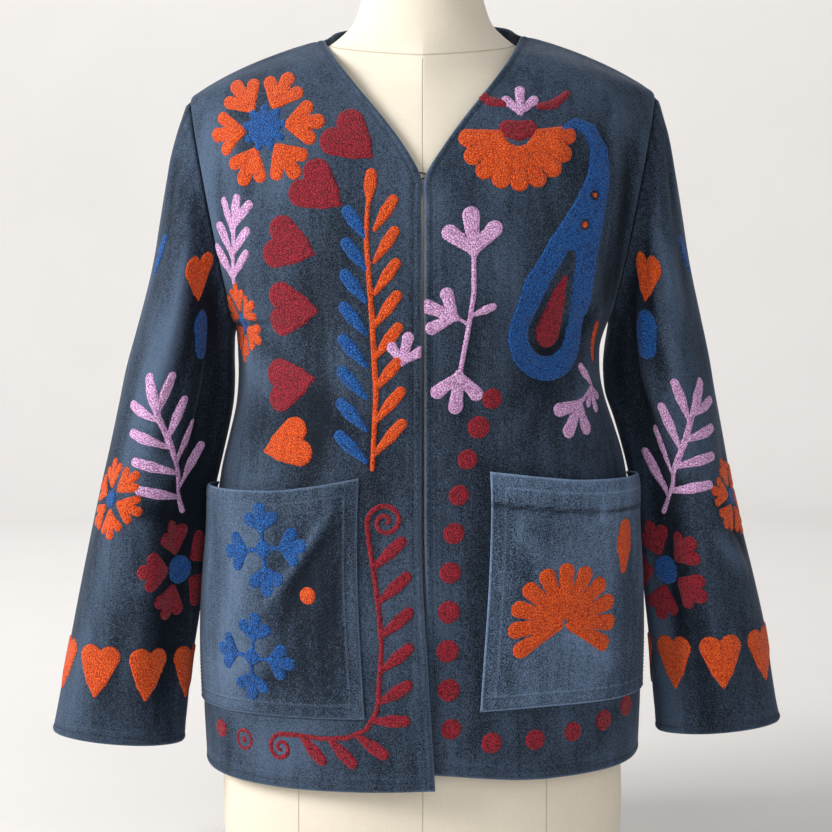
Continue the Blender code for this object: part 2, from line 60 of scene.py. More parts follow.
def smooth_curve(xs, ys, at):
    """Smooth curve through table values that never swings past them."""
    xs = np.asarray(xs, float)
    ys = np.asarray(ys, float)
    at = np.clip(np.asarray(at, float), xs[0], xs[-1])
    step = np.diff(xs)
    rise = np.diff(ys) / step
    slope = np.zeros(len(xs))
    slope[0] = rise[0]
    slope[-1] = rise[-1]
    for i in range(1, len(xs) - 1):
        if rise[i - 1] * rise[i] > 0:
            before = step[i - 1] + 2 * step[i]
            after = 2 * step[i - 1] + step[i]
            slope[i] = (before + after) / (before / rise[i] + after / rise[i - 1])
    i = np.clip(np.searchsorted(xs, at, side="right") - 1, 0, len(step) - 1)
    t = (at - xs[i]) / step[i]
    keep = (1 + 2 * t) * (1 - t) ** 2
    lead = t * (1 - t) ** 2
    take = t * t * (3 - 2 * t)
    trail = t * t * (t - 1)
    lead = lead * step[i] * slope[i]
    trail = trail * step[i] * slope[i + 1]
    return keep * ys[i] + lead + take * ys[i + 1] + trail


def table(values, key, at):
    """A column of a table of sizes, read along the table's first column."""
    return smooth_curve(next(iter(values.values())), values[key], at)


def make_piece(name, vertices, faces, material, marks=None):
    """Smooth-shaded mesh piece; marks are named numbers kept at its points."""
    mesh = bpy.data.meshes.new(name)
    mesh.from_pydata((np.asarray(vertices) * MM).tolist(), [], faces)
    for key, values in (marks or {}).items():
        layer = mesh.attributes.new(key, "FLOAT", "POINT")
        layer.data.foreach_set("value", np.asarray(values, np.float32))
    mesh.shade_smooth()
    mesh.materials.append(material)
    piece = bpy.data.objects.new(name, mesh)
    bpy.context.scene.collection.objects.link(piece)
    return piece


def ring_faces(rings, around):
    """Faces between rings of points, then one over each end."""
    faces = []
    for r in range(rings - 1):
        for c in range(around):
            a = r * around + c
            b = r * around + (c + 1) % around
            faces.append((a, b, b + around, a + around))
    last = (rings - 1) * around
    return [*faces, tuple(reversed(range(around))), tuple(range(last, last + around))]


class Value:
    """One number inside a material; sums and products of it add Math nodes."""

    def __init__(self, shader, socket):
        self.shader = shader
        self.socket = socket

    def math(self, operation, *others):
        return self.shader.math(operation, self, *others)

    def __add__(self, other):
        return self.math("ADD", other)

    __radd__ = __add__

    def __sub__(self, other):
        return self.math("SUBTRACT", other)

    def __rsub__(self, other):
        return self.shader.math("SUBTRACT", other, self)

    def __mul__(self, other):
        return self.math("MULTIPLY", other)

    __rmul__ = __mul__

    def __truediv__(self, other):
        return self.math("DIVIDE", other)

    def clamped(self, low=0.0, high=1.0):
        return self.math("MAXIMUM", low).math("MINIMUM", high)

    def near(self, place, reach):
        """1 at a place, falling to 0 at a reach from it."""
        return (1.0 - (self - place).math("ABSOLUTE") / reach).clamped()


class Shader:
    """A material's nodes, with a Principled surface at the end."""

    def __init__(self, name, **constants):
        self.material = bpy.data.materials.new(name)
        self.material.use_nodes = True
        self.tree = self.material.node_tree
        self.surface = self.tree.nodes["Principled BSDF"]
        for key, value in constants.items():
            self.surface.inputs[key.replace("_", " ")].default_value = value

    def feed(self, socket, value):
        if isinstance(value, Value):
            self.tree.links.new(value.socket, socket)
        else:
            socket.default_value = value

    def add(self, kind, settings=None, sockets=None, out=0):
        node = self.tree.nodes.new(kind)
        for key, value in (settings or {}).items():
            setattr(node, key, value)
        for key, value in (sockets or {}).items():
            self.feed(node.inputs[key], value)
        return Value(self, node.outputs[out])

    def math(self, operation, *terms, kind="ShaderNodeMath"):
        return self.add(kind, {"operation": operation}, dict(enumerate(terms)))

    def vector(self, operation, *terms):
        return self.math(operation, *terms, kind="ShaderNodeVectorMath")

    def place(self):
        return self.add("ShaderNodeTexCoord", out="Object")

    def mark(self, name):
        """A number kept at a piece's points."""
        return self.add("ShaderNodeAttribute", {"attribute_name": name}, out="Fac")

    def noise(self, place, scale, detail=3.0, roughness=0.55, distortion=0.0):
        return self.add("ShaderNodeTexNoise", None, {
            "Vector": place, "Scale": scale, "Detail": detail,
            "Roughness": roughness, "Distortion": distortion,
        }, "Fac")

    def mix(self, share, low, high):
        """A colour between two, each as red, green and blue or as a made colour."""
        low, high = (value if isinstance(value, Value) else (*value, 1) for value in (low, high))
        return self.add("ShaderNodeMix", {"data_type": "RGBA"}, {"Factor": share, 6: low, 7: high}, 2)

    def bump(self, height, distance, strength=1.0):
        sockets = {"Height": height, "Distance": distance, "Strength": strength}
        return self.add("ShaderNodeBump", None, sockets)

    def finish(self, **sockets):
        for key, value in sockets.items():
            self.feed(self.surface.inputs[key.replace("_", " ")], value)
        return self.material


# Seams of the form's cover, in metres
SEAM_HALF_WIDTH = 0.0007
NECK_SEAM_Z = 0.6905
NECK_SEAM_Y = -0.058
NECK_SEAM_SLOPE = 0.30
HIP_SEAM_X = 0.103
HIP_SEAM_TOP = 0.5
FRONT_SEAM_TOP = 0.688


def linen_material():
    """Tight plain-woven cream linen with uneven threads and pressed-open seams."""
    shader = Shader("form_linen", Specular_IOR_Level=0.2, Sheen_Weight=0.15, Sheen_Roughness=0.5)
    place = shader.place()
    x, y, z = (shader.add("ShaderNodeSeparateXYZ", None, {0: place}, axis) for axis in "XYZ")
    weft = shader.noise(shader.vector("MULTIPLY", place, (0.12, 0.12, 1.0)), 900.0, 2.0)
    warp = shader.noise(shader.vector("MULTIPLY", place, (1.0, 1.0, 0.1)), 800.0, 2.0)
    soil = shader.noise(place, 9.0, 3.0)
    weave = weft * 0.5 + warp * 0.5
    front = y.math("LESS_THAN", 0.0)
    centre = x.near(0.0, SEAM_HALF_WIDTH) * front * (1.0 - z.math("GREATER_THAN", FRONT_SEAM_TOP))
    neck = (z - NECK_SEAM_Z - (y - NECK_SEAM_Y) * NECK_SEAM_SLOPE).near(0.0, SEAM_HALF_WIDTH + 0.0001)
    hips = x.math("ABSOLUTE").near(HIP_SEAM_X, SEAM_HALF_WIDTH) * front * z.math("LESS_THAN", HIP_SEAM_TOP)
    seam = centre.math("MAXIMUM", neck).math("MAXIMUM", hips)
    tone = (weave * 0.55 + soil * 0.45).clamped()
    cloth = shader.mix(tone, (0.72, 0.64, 0.51), (0.90, 0.84, 0.72))
    colour = shader.mix(seam * 0.55, cloth, (0.33, 0.27, 0.19))
    height = weave * 0.35 - seam
    rough = 0.78 + tone * 0.15
    return shader.finish(Base_Color=colour, Roughness=rough, Normal=shader.bump(height, 0.0006, 0.7))


FORM_ROUND = 160
FORM_RINGS = 210
at_height = np.concatenate([
    np.linspace(0, 12, 12), np.linspace(14, 794, FORM_RINGS), np.linspace(796, 806, 10),
])
turn = np.arange(FORM_ROUND) * 2 * math.pi / FORM_ROUND
form_rings = []
for level in at_height:
    width, front, back, roundness = (table(FORM, key, level) for key in list(FORM)[1:])
    power = 2 / roundness
    backward = np.sign(np.sin(turn)) * np.abs(np.sin(turn)) ** power
    sideways = np.sign(np.cos(turn)) * np.abs(np.cos(turn)) ** power
    depth = np.where(backward > 0, back, front)
    ring = [width * sideways, depth * backward, np.full(FORM_ROUND, level)]
    form_rings.append(np.stack(ring, axis=-1))
form_faces = ring_faces(len(form_rings), FORM_ROUND)
form = make_piece("form_cover", np.concatenate(form_rings), form_faces, linen_material())
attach(form, "root")
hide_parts("dress_form")

# Fronts
# Two velvet fronts from the centre edge to the side seam, armhole and shoulder.
# Neck and front edges are turned in and topstitched; the right one laps over.

WALL = 2.0
SEAM_GAP = 0.3
SEAM_PLANE_Y = 2.0
NECK_POINT_X = 85.0
NECK_POINT_Z = 712.0
SHOULDER_TIP_X = 201.0
SHOULDER_TIP_Z = 659.0
UNDERARM_X = 161.0
UNDERARM_Z = 466.0
HEM_Z = 90.0
ARMHOLE_FRONT_DEPTH = 48.0
ARMHOLE_BACK_DEPTH = 44.0
ARMHOLE_NARROWING = 0.22
ARMHOLE_STEP_DEG = 15
LIFT_AT_TOP = 4.0
LIFT_AT_HEM = 10.0
LIFT_HALF_SPAN = 120.0
SHOULDER_BOW = 8.5
SHOULDER_BLEND = (1.0, 0.72, 0.34, 0.1)
BODY = {
    "height": (90, 144, 200, 250, 300, 335, 360, 390, 414, 436, 466),
    "right_width": (188, 190.5, 189, 185, 180, 175.5, 170, 162.5, 159, 159, 161),
    "left_width": (188, 190, 188, 184.5, 180.5, 176, 169, 159.5, 153, 152.5, 161),
    "front": (124, 123, 122.5, 122, 122.5, 123, 123.5, 124, 124, 124, 123.5),
    "back": (106, 104, 101, 98, 95, 93, 92.5, 93, 95, 97, 100),
}
BODY_ROWS_BELOW = (90, 116, 144, 180, 216, 252, 288, 318, 345, 372, 397, 420, 443)
FRONT_EDGE = {
    "height": (466, 500, 540, 584, 596, 610, 628, 636, 652, 676, 695, 704, 712),
    "right_x": (1.2, 1.2, 1.2, 1.6, 6, 15, 28, 33, 45.5, 63.5, 76.5, 82, 85),
    "left_x": (1.2, 1.2, 1.2, 1.6, 7.5, 17, 30.5, 35.5, 48, 66, 77.5, 82, 85),
    "forward": (123.5, 121.5, 116, 105, 102.5, 98, 90, 86, 77, 57, 37, 20, -2),
}
FRONT_ROW_HEIGHTS = (466, 474, 485, 500, 518, 540, 562, 584, 610, 636, 662, 688, 712)
FRONT_LAP = {
    "height": (90, 150, 200, 250, 300, 466),
    "right_x": (10, 6, 3, 0, -1.2, -1.2),
    "left_x": (4, 3, 2.5, 2, 1.2, 1.2),
    "right_out": (5.5, 5, 4, 1.5, 0, 0),
    "left_out": (-1, -1, -0.5, 0, 0, 0),
}
LAP_REACH = 0.35
HEM = {
    "share": (0, 0.35, 0.7, 1),
    "right_rise": (-7, -6, -3.5, 0),
    "left_rise": (5, -6, -4, 0),
}
HEM_REACH = 40.0
ROW_ARC_DEG = (90, 88, 84, 79, 74, 69, 65, 62, 60, 58, 55, 50, 45)
ROW_FULLNESS = 0.82
FRONT_COLUMNS = (0, 0.09, 0.18, 0.27, 0.36, 0.45, 0.54, 0.63, 0.72, 0.81, 0.89, 0.955, 1)
POCKET_FIRST_COLUMN = 2
POCKET_LAST_COLUMN = 11
POCKET_BOTTOM_ROW = 2
POCKET_UPPER_ROW = 7
POCKET_EDGE = {
    "height": (144, 341, 443),
    "right_share": (0.175, 0.188, 0.18),
    "left_share": (0.149, 0.197, 0.18),
}
# Folds of the fronts: share across, half width, lowest and highest point, height out
FRONT_FOLDS = ((0.84, 0.13, 380, 640, -4.0), (0.62, 0.14, 60, 420, 2.5), (0.36, 0.12, 120, 520, -2.0))
FOLD_MARGIN = 0.12


def ease(t):
    """Soft step from 0 to 1."""
    t = np.clip(t, 0.0, 1.0)
    return t * t * (3 - 2 * t)


def unit(vectors):
    """Vectors of length one."""
    return vectors / np.linalg.norm(vectors, axis=-1, keepdims=True)


def lifted(points):
    """Points with the wearer's left side raised."""
    x = points[..., 0]
    z = points[..., 2]
    side = ease((x + LIFT_HALF_SPAN) / (2 * LIFT_HALF_SPAN))
    low = ease((NECK_POINT_Z - z) / (NECK_POINT_Z - 2 * HEM_Z))
    out = points.copy()
    out[..., 2] = z + side * (LIFT_AT_TOP + (LIFT_AT_HEM - LIFT_AT_TOP) * low)
    return out


def grid_normals(grid, side, ring=False):
    """Way out at each point of a grid of rows; ring grids close along a row."""
    if ring:
        across = np.roll(grid, -1, axis=1) - np.roll(grid, 1, axis=1)
    else:
        across = np.gradient(grid, axis=1)
    return unit(np.cross(across, np.gradient(grid, axis=0))) * side


def refined(grid, at, ring=False):
    """Points at the given places down a grid's rows, on smooth curves through it."""
    count = len(grid)
    i = np.floor(at).astype(int)
    if not ring:
        i = np.clip(i, 0, count - 2)
    t = (at - i).reshape(-1, 1, 1)
    if ring:
        before, here, there, after = (grid[(i + k) % count] for k in (-1, 0, 1, 2))
    else:
        first = 2 * grid[0] - grid[1]
        last = 2 * grid[-1] - grid[-2]
        padded = np.concatenate([first[None], grid, last[None]])
        before, here, there, after = (padded[i + 1 + k] for k in (-1, 0, 1, 2))
    return 0.5 * (
        2 * here + (there - before) * t + (2 * before - 5 * here + 4 * there - after) * t ** 2
        + (3 * here - before - 3 * there + after) * t ** 3
    )


FINISHED_EDGE = np.array([0, 0.7, 1.5, 2.5, 3.6, 4.7, 5.5, 6.2, 6.9, 7.8, 9.2])


def places_along(spacing, pitch, start_edge, end_edge):
    """Places along rows of the given spacing, a pitch apart, closer at finished edges."""
    length = np.concatenate([[0], np.cumsum(spacing)])
    total = length[-1]
    low = FINISHED_EDGE if start_edge else np.array([0.0])
    high = total - FINISHED_EDGE[::-1] if end_edge else np.array([total])
    count = max(2, int(round((high[0] - low[-1]) / pitch)))
    middle = np.linspace(low[-1], high[0], count + 1)[1:-1]
    return np.interp(np.concatenate([low, middle, high]), length, np.arange(len(length)))


def spacing_of(grid, axis):
    """Mean distance between a grid's rows (axis 0) or columns (axis 1)."""
    step = np.linalg.norm(np.diff(grid, axis=axis), axis=-1)
    return step.mean(axis=1 - axis)


def fine_grid(coarse, pitch, ends, sides=None):
    """A coarse surface with close points at finished edges; it is a ring without sides."""
    down = places_along(spacing_of(coarse, 0), pitch, *ends)
    if sides:
        over = places_along(spacing_of(coarse, 1), pitch, *sides)
    else:
        count = int(round(spacing_of(coarse, 1).sum() / pitch))
        over = np.arange(count) * coarse.shape[1] / count
    grid = refined(coarse, down).transpose(1, 0, 2)
    return refined(grid, over, ring=not sides).transpose(1, 0, 2), down, over


def run_from(grid, axis, from_end=False):
    """Distance of each point from its row's or column's first or last point."""
    step = np.linalg.norm(np.diff(grid, axis=axis), axis=-1)
    zero = np.zeros_like(np.take(step, [0], axis=axis))
    run = np.concatenate([zero, np.cumsum(step, axis=axis)], axis=axis)
    return np.take(run, [-1], axis=axis) - run if from_end else run


def four_runs(grid):
    """Distances from the first and last column, then from the first and last row."""
    return [run_from(grid, axis, from_end) for axis in (1, 0) for from_end in (False, True)]


EDGE_ROLL = {
    "from_edge": (0, 0.8, 1.8, 3.2, 4.6, 5.6, 6.2, 6.8, 7.8, 9.5, 40),
    "out": (-0.9, -0.2, 0.35, 0.6, 0.35, -0.25, -0.55, -0.25, 0.15, 0.0, 0.0),
}


def edge_roll(run):
    """How far a turned, topstitched edge stands out at a distance from the edge."""
    return np.interp(run, EDGE_ROLL["from_edge"], EDGE_ROLL["out"])


SEAM_DIP = {
    "from_seam": (0, 1.2, 2.6, 4.5, 7, 12),
    "out": (-1.1, -0.8, 0.1, 0.45, 0.3, 0.0),
}


def seam_dip(run):
    """How the cloth sinks into a sewn seam at a distance from it."""
    return np.interp(run, SEAM_DIP["from_seam"], SEAM_DIP["out"])


def armhole_point(degrees, side):
    """Armhole seam: 0 at the shoulder tip, 90 at the front, 180 at the underarm."""
    turn_by = math.radians(degrees)
    up = math.cos(turn_by)
    front = math.sin(turn_by)
    middle_x = (SHOULDER_TIP_X + UNDERARM_X) / 2
    middle_z = (SHOULDER_TIP_Z + UNDERARM_Z) / 2
    depth = ARMHOLE_FRONT_DEPTH if front > 0 else ARMHOLE_BACK_DEPTH
    x = middle_x + (SHOULDER_TIP_X - middle_x) * up
    y = SEAM_PLANE_Y - depth * (1 - ARMHOLE_NARROWING * up) * front
    return np.array([side * x, y, middle_z + (SHOULDER_TIP_Z - middle_z) * up])


def armhole_outward(degrees, side, toward_body):
    """Direction out of the cloth at the armhole seam, for the body or the sleeve."""
    turn_by = math.radians(degrees)
    up = unit(np.array([side * (SHOULDER_TIP_X - UNDERARM_X), 0.0, SHOULDER_TIP_Z - UNDERARM_Z]))
    radial = up * math.cos(turn_by) + np.array([0.0, -1.0, 0.0]) * math.sin(turn_by)
    under = float(ease((-math.cos(turn_by) - 0.4) / 0.6))
    sideways = np.array([side if toward_body else -side, 0.0, 0.0])
    return unit(radial * (1 - under) + sideways * under)


def armhole_axis(side):
    """Direction across the armhole seam, from the body into the sleeve."""
    return unit(np.array([side * (SHOULDER_TIP_Z - UNDERARM_Z), 0.0, UNDERARM_X - SHOULDER_TIP_X]))


def side_seam(down, side, way):
    """Which rows end at the side seam, and each row's way out there or at the armhole."""
    below = len(BODY_ROWS_BELOW)
    rows = np.arange(len(down))
    straight = rows <= np.interp(below, down, rows)
    degrees = 180 + way * ARMHOLE_STEP_DEG * np.maximum(down - below, 0)
    ways = [(side, 0.0, 0.0) if s else armhole_outward(d, side, True) for s, d in zip(straight, degrees)]
    return straight, np.array(ways)[:, None]


def shoulder_way(side):
    """Direction out of the cloth at the shoulder seam."""
    return unit(np.array([side * (NECK_POINT_Z - SHOULDER_TIP_Z), 0.0, SHOULDER_TIP_X - NECK_POINT_X]))


SEAM_TURN = 6.0


def turned(outward, run, way):
    """Ways out that swing to a seam's own way within a few millimetres of it."""
    blend = ease(1 - run / SEAM_TURN)[..., None]
    return unit(outward * (1 - blend) + way * blend)


def fold_height(across, down, folds):
    """Sum of soft folds at shares or degrees across; degrees go round at 360."""
    total = 0.0
    for place, half_width, start, end, out in folds:
        apart = np.abs((across - place + 180) % 360 - 180) / half_width
        run = np.clip((down - start) / (end - start), 0, 1)
        total = total + out * (1 - ease(apart)) * np.sin(np.pi * run)
    return total


def row_between(inner, outer, arc_deg, share):
    """Points of one row, from the inner edge point to the outer edge point."""
    arc = math.radians(arc_deg)
    sideways = np.sin(share * arc) / math.sin(arc)
    bow = np.clip((np.cos(share * arc) - math.cos(arc)) / (1 - math.cos(arc)), 0, 1) ** ROW_FULLNESS
    x = inner[0] + (outer[0] - inner[0]) * sideways
    y = outer[1] + (inner[1] - outer[1]) * bow
    z = inner[2] + (outer[2] - inner[2]) * sideways
    return np.stack([x, y, z], axis=-1)


def shoulder_bow(reach):
    """How far the shoulder seam stands above a straight line, neck 0 to tip 1."""
    return SHOULDER_BOW * np.sqrt(np.sin(math.pi * np.clip(reach, 0, 1) ** 1.3))


def front_shares(height, wearer):
    """Shares across a front at a height, bent so that a column runs up the pocket's edge."""
    base = np.array(FRONT_COLUMNS, float)
    line = base[POCKET_FIRST_COLUMN]
    edge = table(POCKET_EDGE, wearer + "_share", height)
    beyond = edge + (base - line) * (1 - edge) / (1 - line)
    return np.where(base <= line, base * edge / line, beyond)


def front_row(row, side):
    """One row of a front, counted from the hem, from centre to side."""
    wearer = "right" if side < 0 else "left"
    step = row - len(BODY_ROWS_BELOW)
    if step < 0:
        height = BODY_ROWS_BELOW[row]
        depth = table(BODY, "front", height)
        outer = np.array([side * table(BODY, wearer + "_width", height), SEAM_PLANE_Y, height])
        edge_x = table(FRONT_LAP, wearer + "_x", height)
        out = table(FRONT_LAP, wearer + "_out", height)
    else:
        height = FRONT_ROW_HEIGHTS[step]
        depth = table(FRONT_EDGE, "forward", height)
        outer = armhole_point(180 - step * ARMHOLE_STEP_DEG, side)
        edge_x = side * table(FRONT_EDGE, wearer + "_x", height)
        out = 0.0
    share = front_shares(height, wearer)
    inner = np.array([edge_x, -depth, height])
    points = row_between(inner, outer, ROW_ARC_DEG[max(0, step)], share)
    points[:, 1] -= out * (1 - ease(share / LAP_REACH))
    points[:, 2] += table(HEM, wearer + "_rise", share) * (1 - ease((height - HEM_Z) / HEM_REACH))
    down = len(FRONT_ROW_HEIGHTS) - 1 - step
    if down < len(SHOULDER_BLEND):
        reach = (points[:, 0] - inner[0]) / (outer[0] - inner[0])
        points[:, 2] += shoulder_bow(reach) * SHOULDER_BLEND[down]
    return points


def front_grid(side):
    """Coarse outer surface of a front with its folds."""
    rows = len(BODY_ROWS_BELOW) + len(FRONT_ROW_HEIGHTS)
    grid = np.array([front_row(r, side) for r in range(rows)])
    shares = np.array(FRONT_COLUMNS)
    edges = ease(shares / FOLD_MARGIN) * ease((1 - shares) / FOLD_MARGIN)
    push = fold_height(shares, grid[..., 2], FRONT_FOLDS) * edges
    return grid + grid_normals(grid, side) * push[..., None]


def crease_height(x, z, creases):
    """Sum of soft troughs and ridges drawn as lines on a panel, fading at their ends."""
    total = np.zeros(x.shape)
    for x0, z0, x1, z1, width, out in creases:
        run_x, run_z = x1 - x0, z1 - z0
        length = math.hypot(run_x, run_z)
        along = ((x - x0) * run_x + (z - z0) * run_z) / length ** 2
        off = ((x - x0) * run_z - (z - z0) * run_x) / length
        sway = 0.25 * width * np.sin(along * 5.0 + x0)
        fade = np.sin(np.pi * np.clip(along, 0, 1)) ** 0.7
        total += out * fade * np.exp(-((off + sway) / width) ** 2)
    return total


def uneven(x, z, seed):
    """Slight waviness of hanging cloth, in millimetres."""
    broad = np.sin(x / 23.0 + seed) * np.sin(z / 71.0 + 1.7 * seed)
    narrow = np.sin(x / 9.5 + 2.3 * seed + np.sin(z / 40.0)) * np.sin(z / 55.0 + seed)
    return 0.55 * broad + 0.22 * narrow


def cell_corners(index):
    """Indices at the four corners of each cell of a grid, going round it."""
    return index[:-1, :-1], index[:-1, 1:], index[1:, 1:], index[1:, :-1]


def shell_faces(rows, columns, ring=False):
    """Faces of a closed wall between an outer and an inner grid of points."""
    index = np.arange(rows * columns).reshape(rows, columns)
    if ring:
        index = np.concatenate([index, index[:, :1]], axis=1)
    half = rows * columns
    a, b, c, d = cell_corners(index)
    outer = np.stack([a, b, c, d], axis=-1).reshape(-1, 4)
    inner = np.stack([a, d, c, b], axis=-1).reshape(-1, 4) + half
    edges = [(index[0, 1:], index[0, :-1]), (index[-1, :-1], index[-1, 1:])]
    if not ring:
        edges += [(index[:-1, 0], index[1:, 0]), (index[1:, -1], index[:-1, -1])]
    rims = [np.stack([p, q, q + half, p + half], axis=-1) for p, q in edges]
    return np.concatenate([outer, inner, *rims])


def make_cloth(name, side, outer, normals, material, from_edge, fold_shade_and_nap, thickness=None, ring=False):
    """Cloth wall on an outer grid, lifted like the solid, marked with distances from its finished edges and
    with the painted shade of its folds and creases and the brushing of its pile.
    """
    if thickness is None:
        thickness = WALL + 2 * np.minimum(0, edge_roll(from_edge)) * (from_edge < 1.5)
    inner = outer - normals * np.broadcast_to(thickness, from_edge.shape)[..., None]
    faces = shell_faces(*outer.shape[:2], ring)
    if side < 0:
        faces = faces[:, ::-1]
    points = lifted(np.concatenate([outer.reshape(-1, 3), inner.reshape(-1, 3)]))
    marks = {"from_edge": np.tile(from_edge.ravel(), 2), "fold_shade_and_nap": np.tile(fold_shade_and_nap.ravel(), 2)}
    return make_piece(name, points, faces.tolist(), material, marks)


VELVET_DARK = np.array((0.005, 0.0085, 0.015))
VELVET_PALE = np.array((0.084, 0.126, 0.200))
WORN_WIDTH = 2.2
TURNED_IN = 11.6
TURNED_IN_REACH = 1.6


def velvet_material(name, light=1.0, seed=0.0, ridge=0.10):
    """Cotton velvet, slate blue, its pile brushed into paler and darker streaks, with painted shade and
    highlight of folds and creases read from each piece's mark.
    """
    shader = Shader(
        name, Specular_IOR_Level=0.12, Sheen_Weight=0.24, Sheen_Roughness=0.32,
        Sheen_Tint=(0.66, 0.79, 1.0, 1),
    )
    place = shader.vector("ADD", shader.place(), (seed, seed * 0.7, seed * 1.3))
    cloud = shader.noise(shader.vector("MULTIPLY", place, (1.0, 1.0, 0.5)), 13.0, 1.5, 0.45, 0.3)
    nap_and_painted_light = shader.noise(shader.vector("MULTIPLY", place, (1.0, 1.0, 0.15)), 105.0, 2.5, 0.55, 0.3)
    crushed = shader.noise(place, 260.0, 2.0, 0.6)
    pile = shader.noise(place, 1050.0, 2.0, 0.75)
    from_edge = shader.mark("from_edge")
    worn = (1.0 - from_edge / WORN_WIDTH).clamped()
    turned_in = from_edge.near(TURNED_IN, TURNED_IN_REACH)
    # Painted shade in the troughs and painted highlight on the ridges of folds and creases, with the pile's
    # brushing, read from each piece's mark
    shade_and_nap_tone = (shader.mark("fold_shade_and_nap") * 0.075).clamped(-0.55, 0.6)
    nap = (cloud - 0.5) * 1.3 + (nap_and_painted_light - 0.5) * 0.7 + (crushed - 0.5) * 0.35 + (pile - 0.5) * 3.6
    tone = (0.36 + nap * 0.8 + shade_and_nap_tone + worn * 0.7 + turned_in * ridge).clamped()
    colour = shader.mix(tone, VELVET_DARK * light, VELVET_PALE * light)
    height = crushed * 0.6 + pile * 0.35 + nap_and_painted_light * 0.5
    rough = 0.80 + tone * 0.14
    return shader.finish(Base_Color=colour, Roughness=rough, Normal=shader.bump(height, 0.0009, 0.65))


# Height out of creases and folds times this goes into the painted shade mark: troughs painted darker,
# ridges painted paler
CREASE_PAINTED_SHADE = 2.2
CLOTH_PITCH = 3.4
UNDER_POCKET_TOP = 350
UNDER_POCKET_FOOT = 132
UNDER_POCKET_EDGE = 44
# Creases of each front: x and height at both ends, half width, height out
RIGHT_FRONT_CREASES = (
    (-176, 610, -158, 470, 8, -2.6), (-162, 640, -150, 500, 9, 1.6),
    (-150, 655, -138, 560, 6, -1.2), (-150, 470, -95, 415, 9, -2.0),
    (-152, 450, -112, 380, 8, 1.4), (-120, 640, -112, 560, 8, 1.0),
    (-70, 560, -62, 380, 14, 1.2), (-100, 520, -92, 360, 12, -1.2),
    (-36, 520, -30, 300, 10, -1.0), (-58, 350, -90, 395, 8, 1.2),
    (-24, 330, -20, 130, 12, 1.0), (-46, 140, -30, 92, 9, -1.0),
    (-120, 140, -110, 88, 14, 1.3), (-160, 142, -156, 88, 10, -1.2),
)
LEFT_FRONT_CREASES = (
    (180, 620, 160, 470, 8, -3.0), (168, 650, 152, 520, 8, 1.8),
    (156, 660, 142, 580, 6, -1.4), (148, 472, 92, 428, 9, -2.2),
    (150, 440, 118, 372, 8, 1.5), (116, 650, 108, 560, 8, 1.2),
    (74, 550, 64, 400, 14, 1.1), (104, 500, 98, 370, 11, -1.3),
    (40, 500, 34, 310, 10, -1.0), (60, 362, 100, 405, 8, 1.2),
    (26, 330, 22, 120, 11, 1.0), (50, 142, 34, 100, 9, -0.9),
    (112, 150, 104, 96, 13, 1.2), (158, 152, 154, 98, 10, -1.2),
)
# Where each front is painted paler or darker, partly the pile's brushing and partly painted light and
# shade:
# the same columns, with the last one as a shade that is above nought where it is pale
RIGHT_FRONT_NAP_AND_PAINTED_LIGHT = (
    (-180, 700, -166, 450, 20, 9.0), (-70, 710, -20, 570, 24, 4.0), (-176, 368, -36, 392, 30, -7.5),
    (-66, 560, -60, 440, 20, -1.8), (-166, 150, -124, 84, 20, 3.5),
)
LEFT_FRONT_NAP_AND_PAINTED_LIGHT = (
    (40, 360, 48, 90, 22, -4.0), (96, 160, 112, 80, 24, -3.5), (168, 150, 156, 85, 12, 3.0),
    (86, 710, 166, 620, 24, 3.5), (60, 580, 50, 470, 16, 2.2),
)


def make_front(name, side, creases, nap_and_painted_light, material):
    """A front with close points along its turned edges; returns piece and surface."""
    grid, down, over = fine_grid(front_grid(side), CLOTH_PITCH, (True, False), (True, False))
    x, z = grid[..., 0], grid[..., 2]
    edge_run, side_run, hem_run, top_run = four_runs(grid)
    inside = ease(edge_run / 30) * ease(side_run / 18) * ease(hem_run / 20) * ease(top_run / 18)
    under_pocket = ease((UNDER_POCKET_TOP - z) / 20) * ease((z - UNDER_POCKET_FOOT) / 12)
    under_pocket *= ease((np.abs(x) - UNDER_POCKET_EDGE) / 8)
    push = (crease_height(x, z, creases) + uneven(x, z, side)) * inside * (1 - under_pocket)
    shares = np.interp(over, np.arange(len(FRONT_COLUMNS)), FRONT_COLUMNS)
    # Painted shade in troughs and painted highlight on ridges of the creases and folds, with the pile's
    # brushing and painted light
    fold_shade_and_nap = push * CREASE_PAINTED_SHADE + fold_height(shares, z, FRONT_FOLDS) + crease_height(x, z, nap_and_painted_light)
    push += edge_roll(edge_run) + edge_roll(hem_run) * 0.8 * (edge_run > 3)
    push += seam_dip(side_run) + seam_dip(top_run)
    outer = grid + grid_normals(grid, side) * push[..., None]
    straight, ways = side_seam(down, side, -1)
    outward = turned(grid_normals(outer, side), side_run, ways)
    outward = turned(outward, top_run, shoulder_way(side))
    outer[straight, -1, 1] -= SEAM_GAP / 2
    outer[-1, :, 1] -= SEAM_GAP / 2
    outer[~straight, -1] -= armhole_axis(side) * SEAM_GAP / 2
    piece = make_cloth(name, side, outer, outward, material, np.minimum(edge_run, hem_run), fold_shade_and_nap)
    return piece, (outer, outward, grid[:, :1, 0] + side * edge_run, z)


velvet = velvet_material("velvet_fronts")
front_cloth = {}
for wearer, side, creases, nap_and_painted_light in (
    ("right", -1, RIGHT_FRONT_CREASES, RIGHT_FRONT_NAP_AND_PAINTED_LIGHT),
    ("left", 1, LEFT_FRONT_CREASES, LEFT_FRONT_NAP_AND_PAINTED_LIGHT),
):
    name = "front_" + wearer + "_cloth"
    piece, front_cloth[wearer] = make_front(name, side, creases, nap_and_painted_light, velvet)
    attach(piece, "root")
    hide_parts("front_" + wearer)

# Back
# One velvet panel from side seam to side seam, sewn to the fronts at the sides
# and shoulders, with a plain turned neck edge and hem.

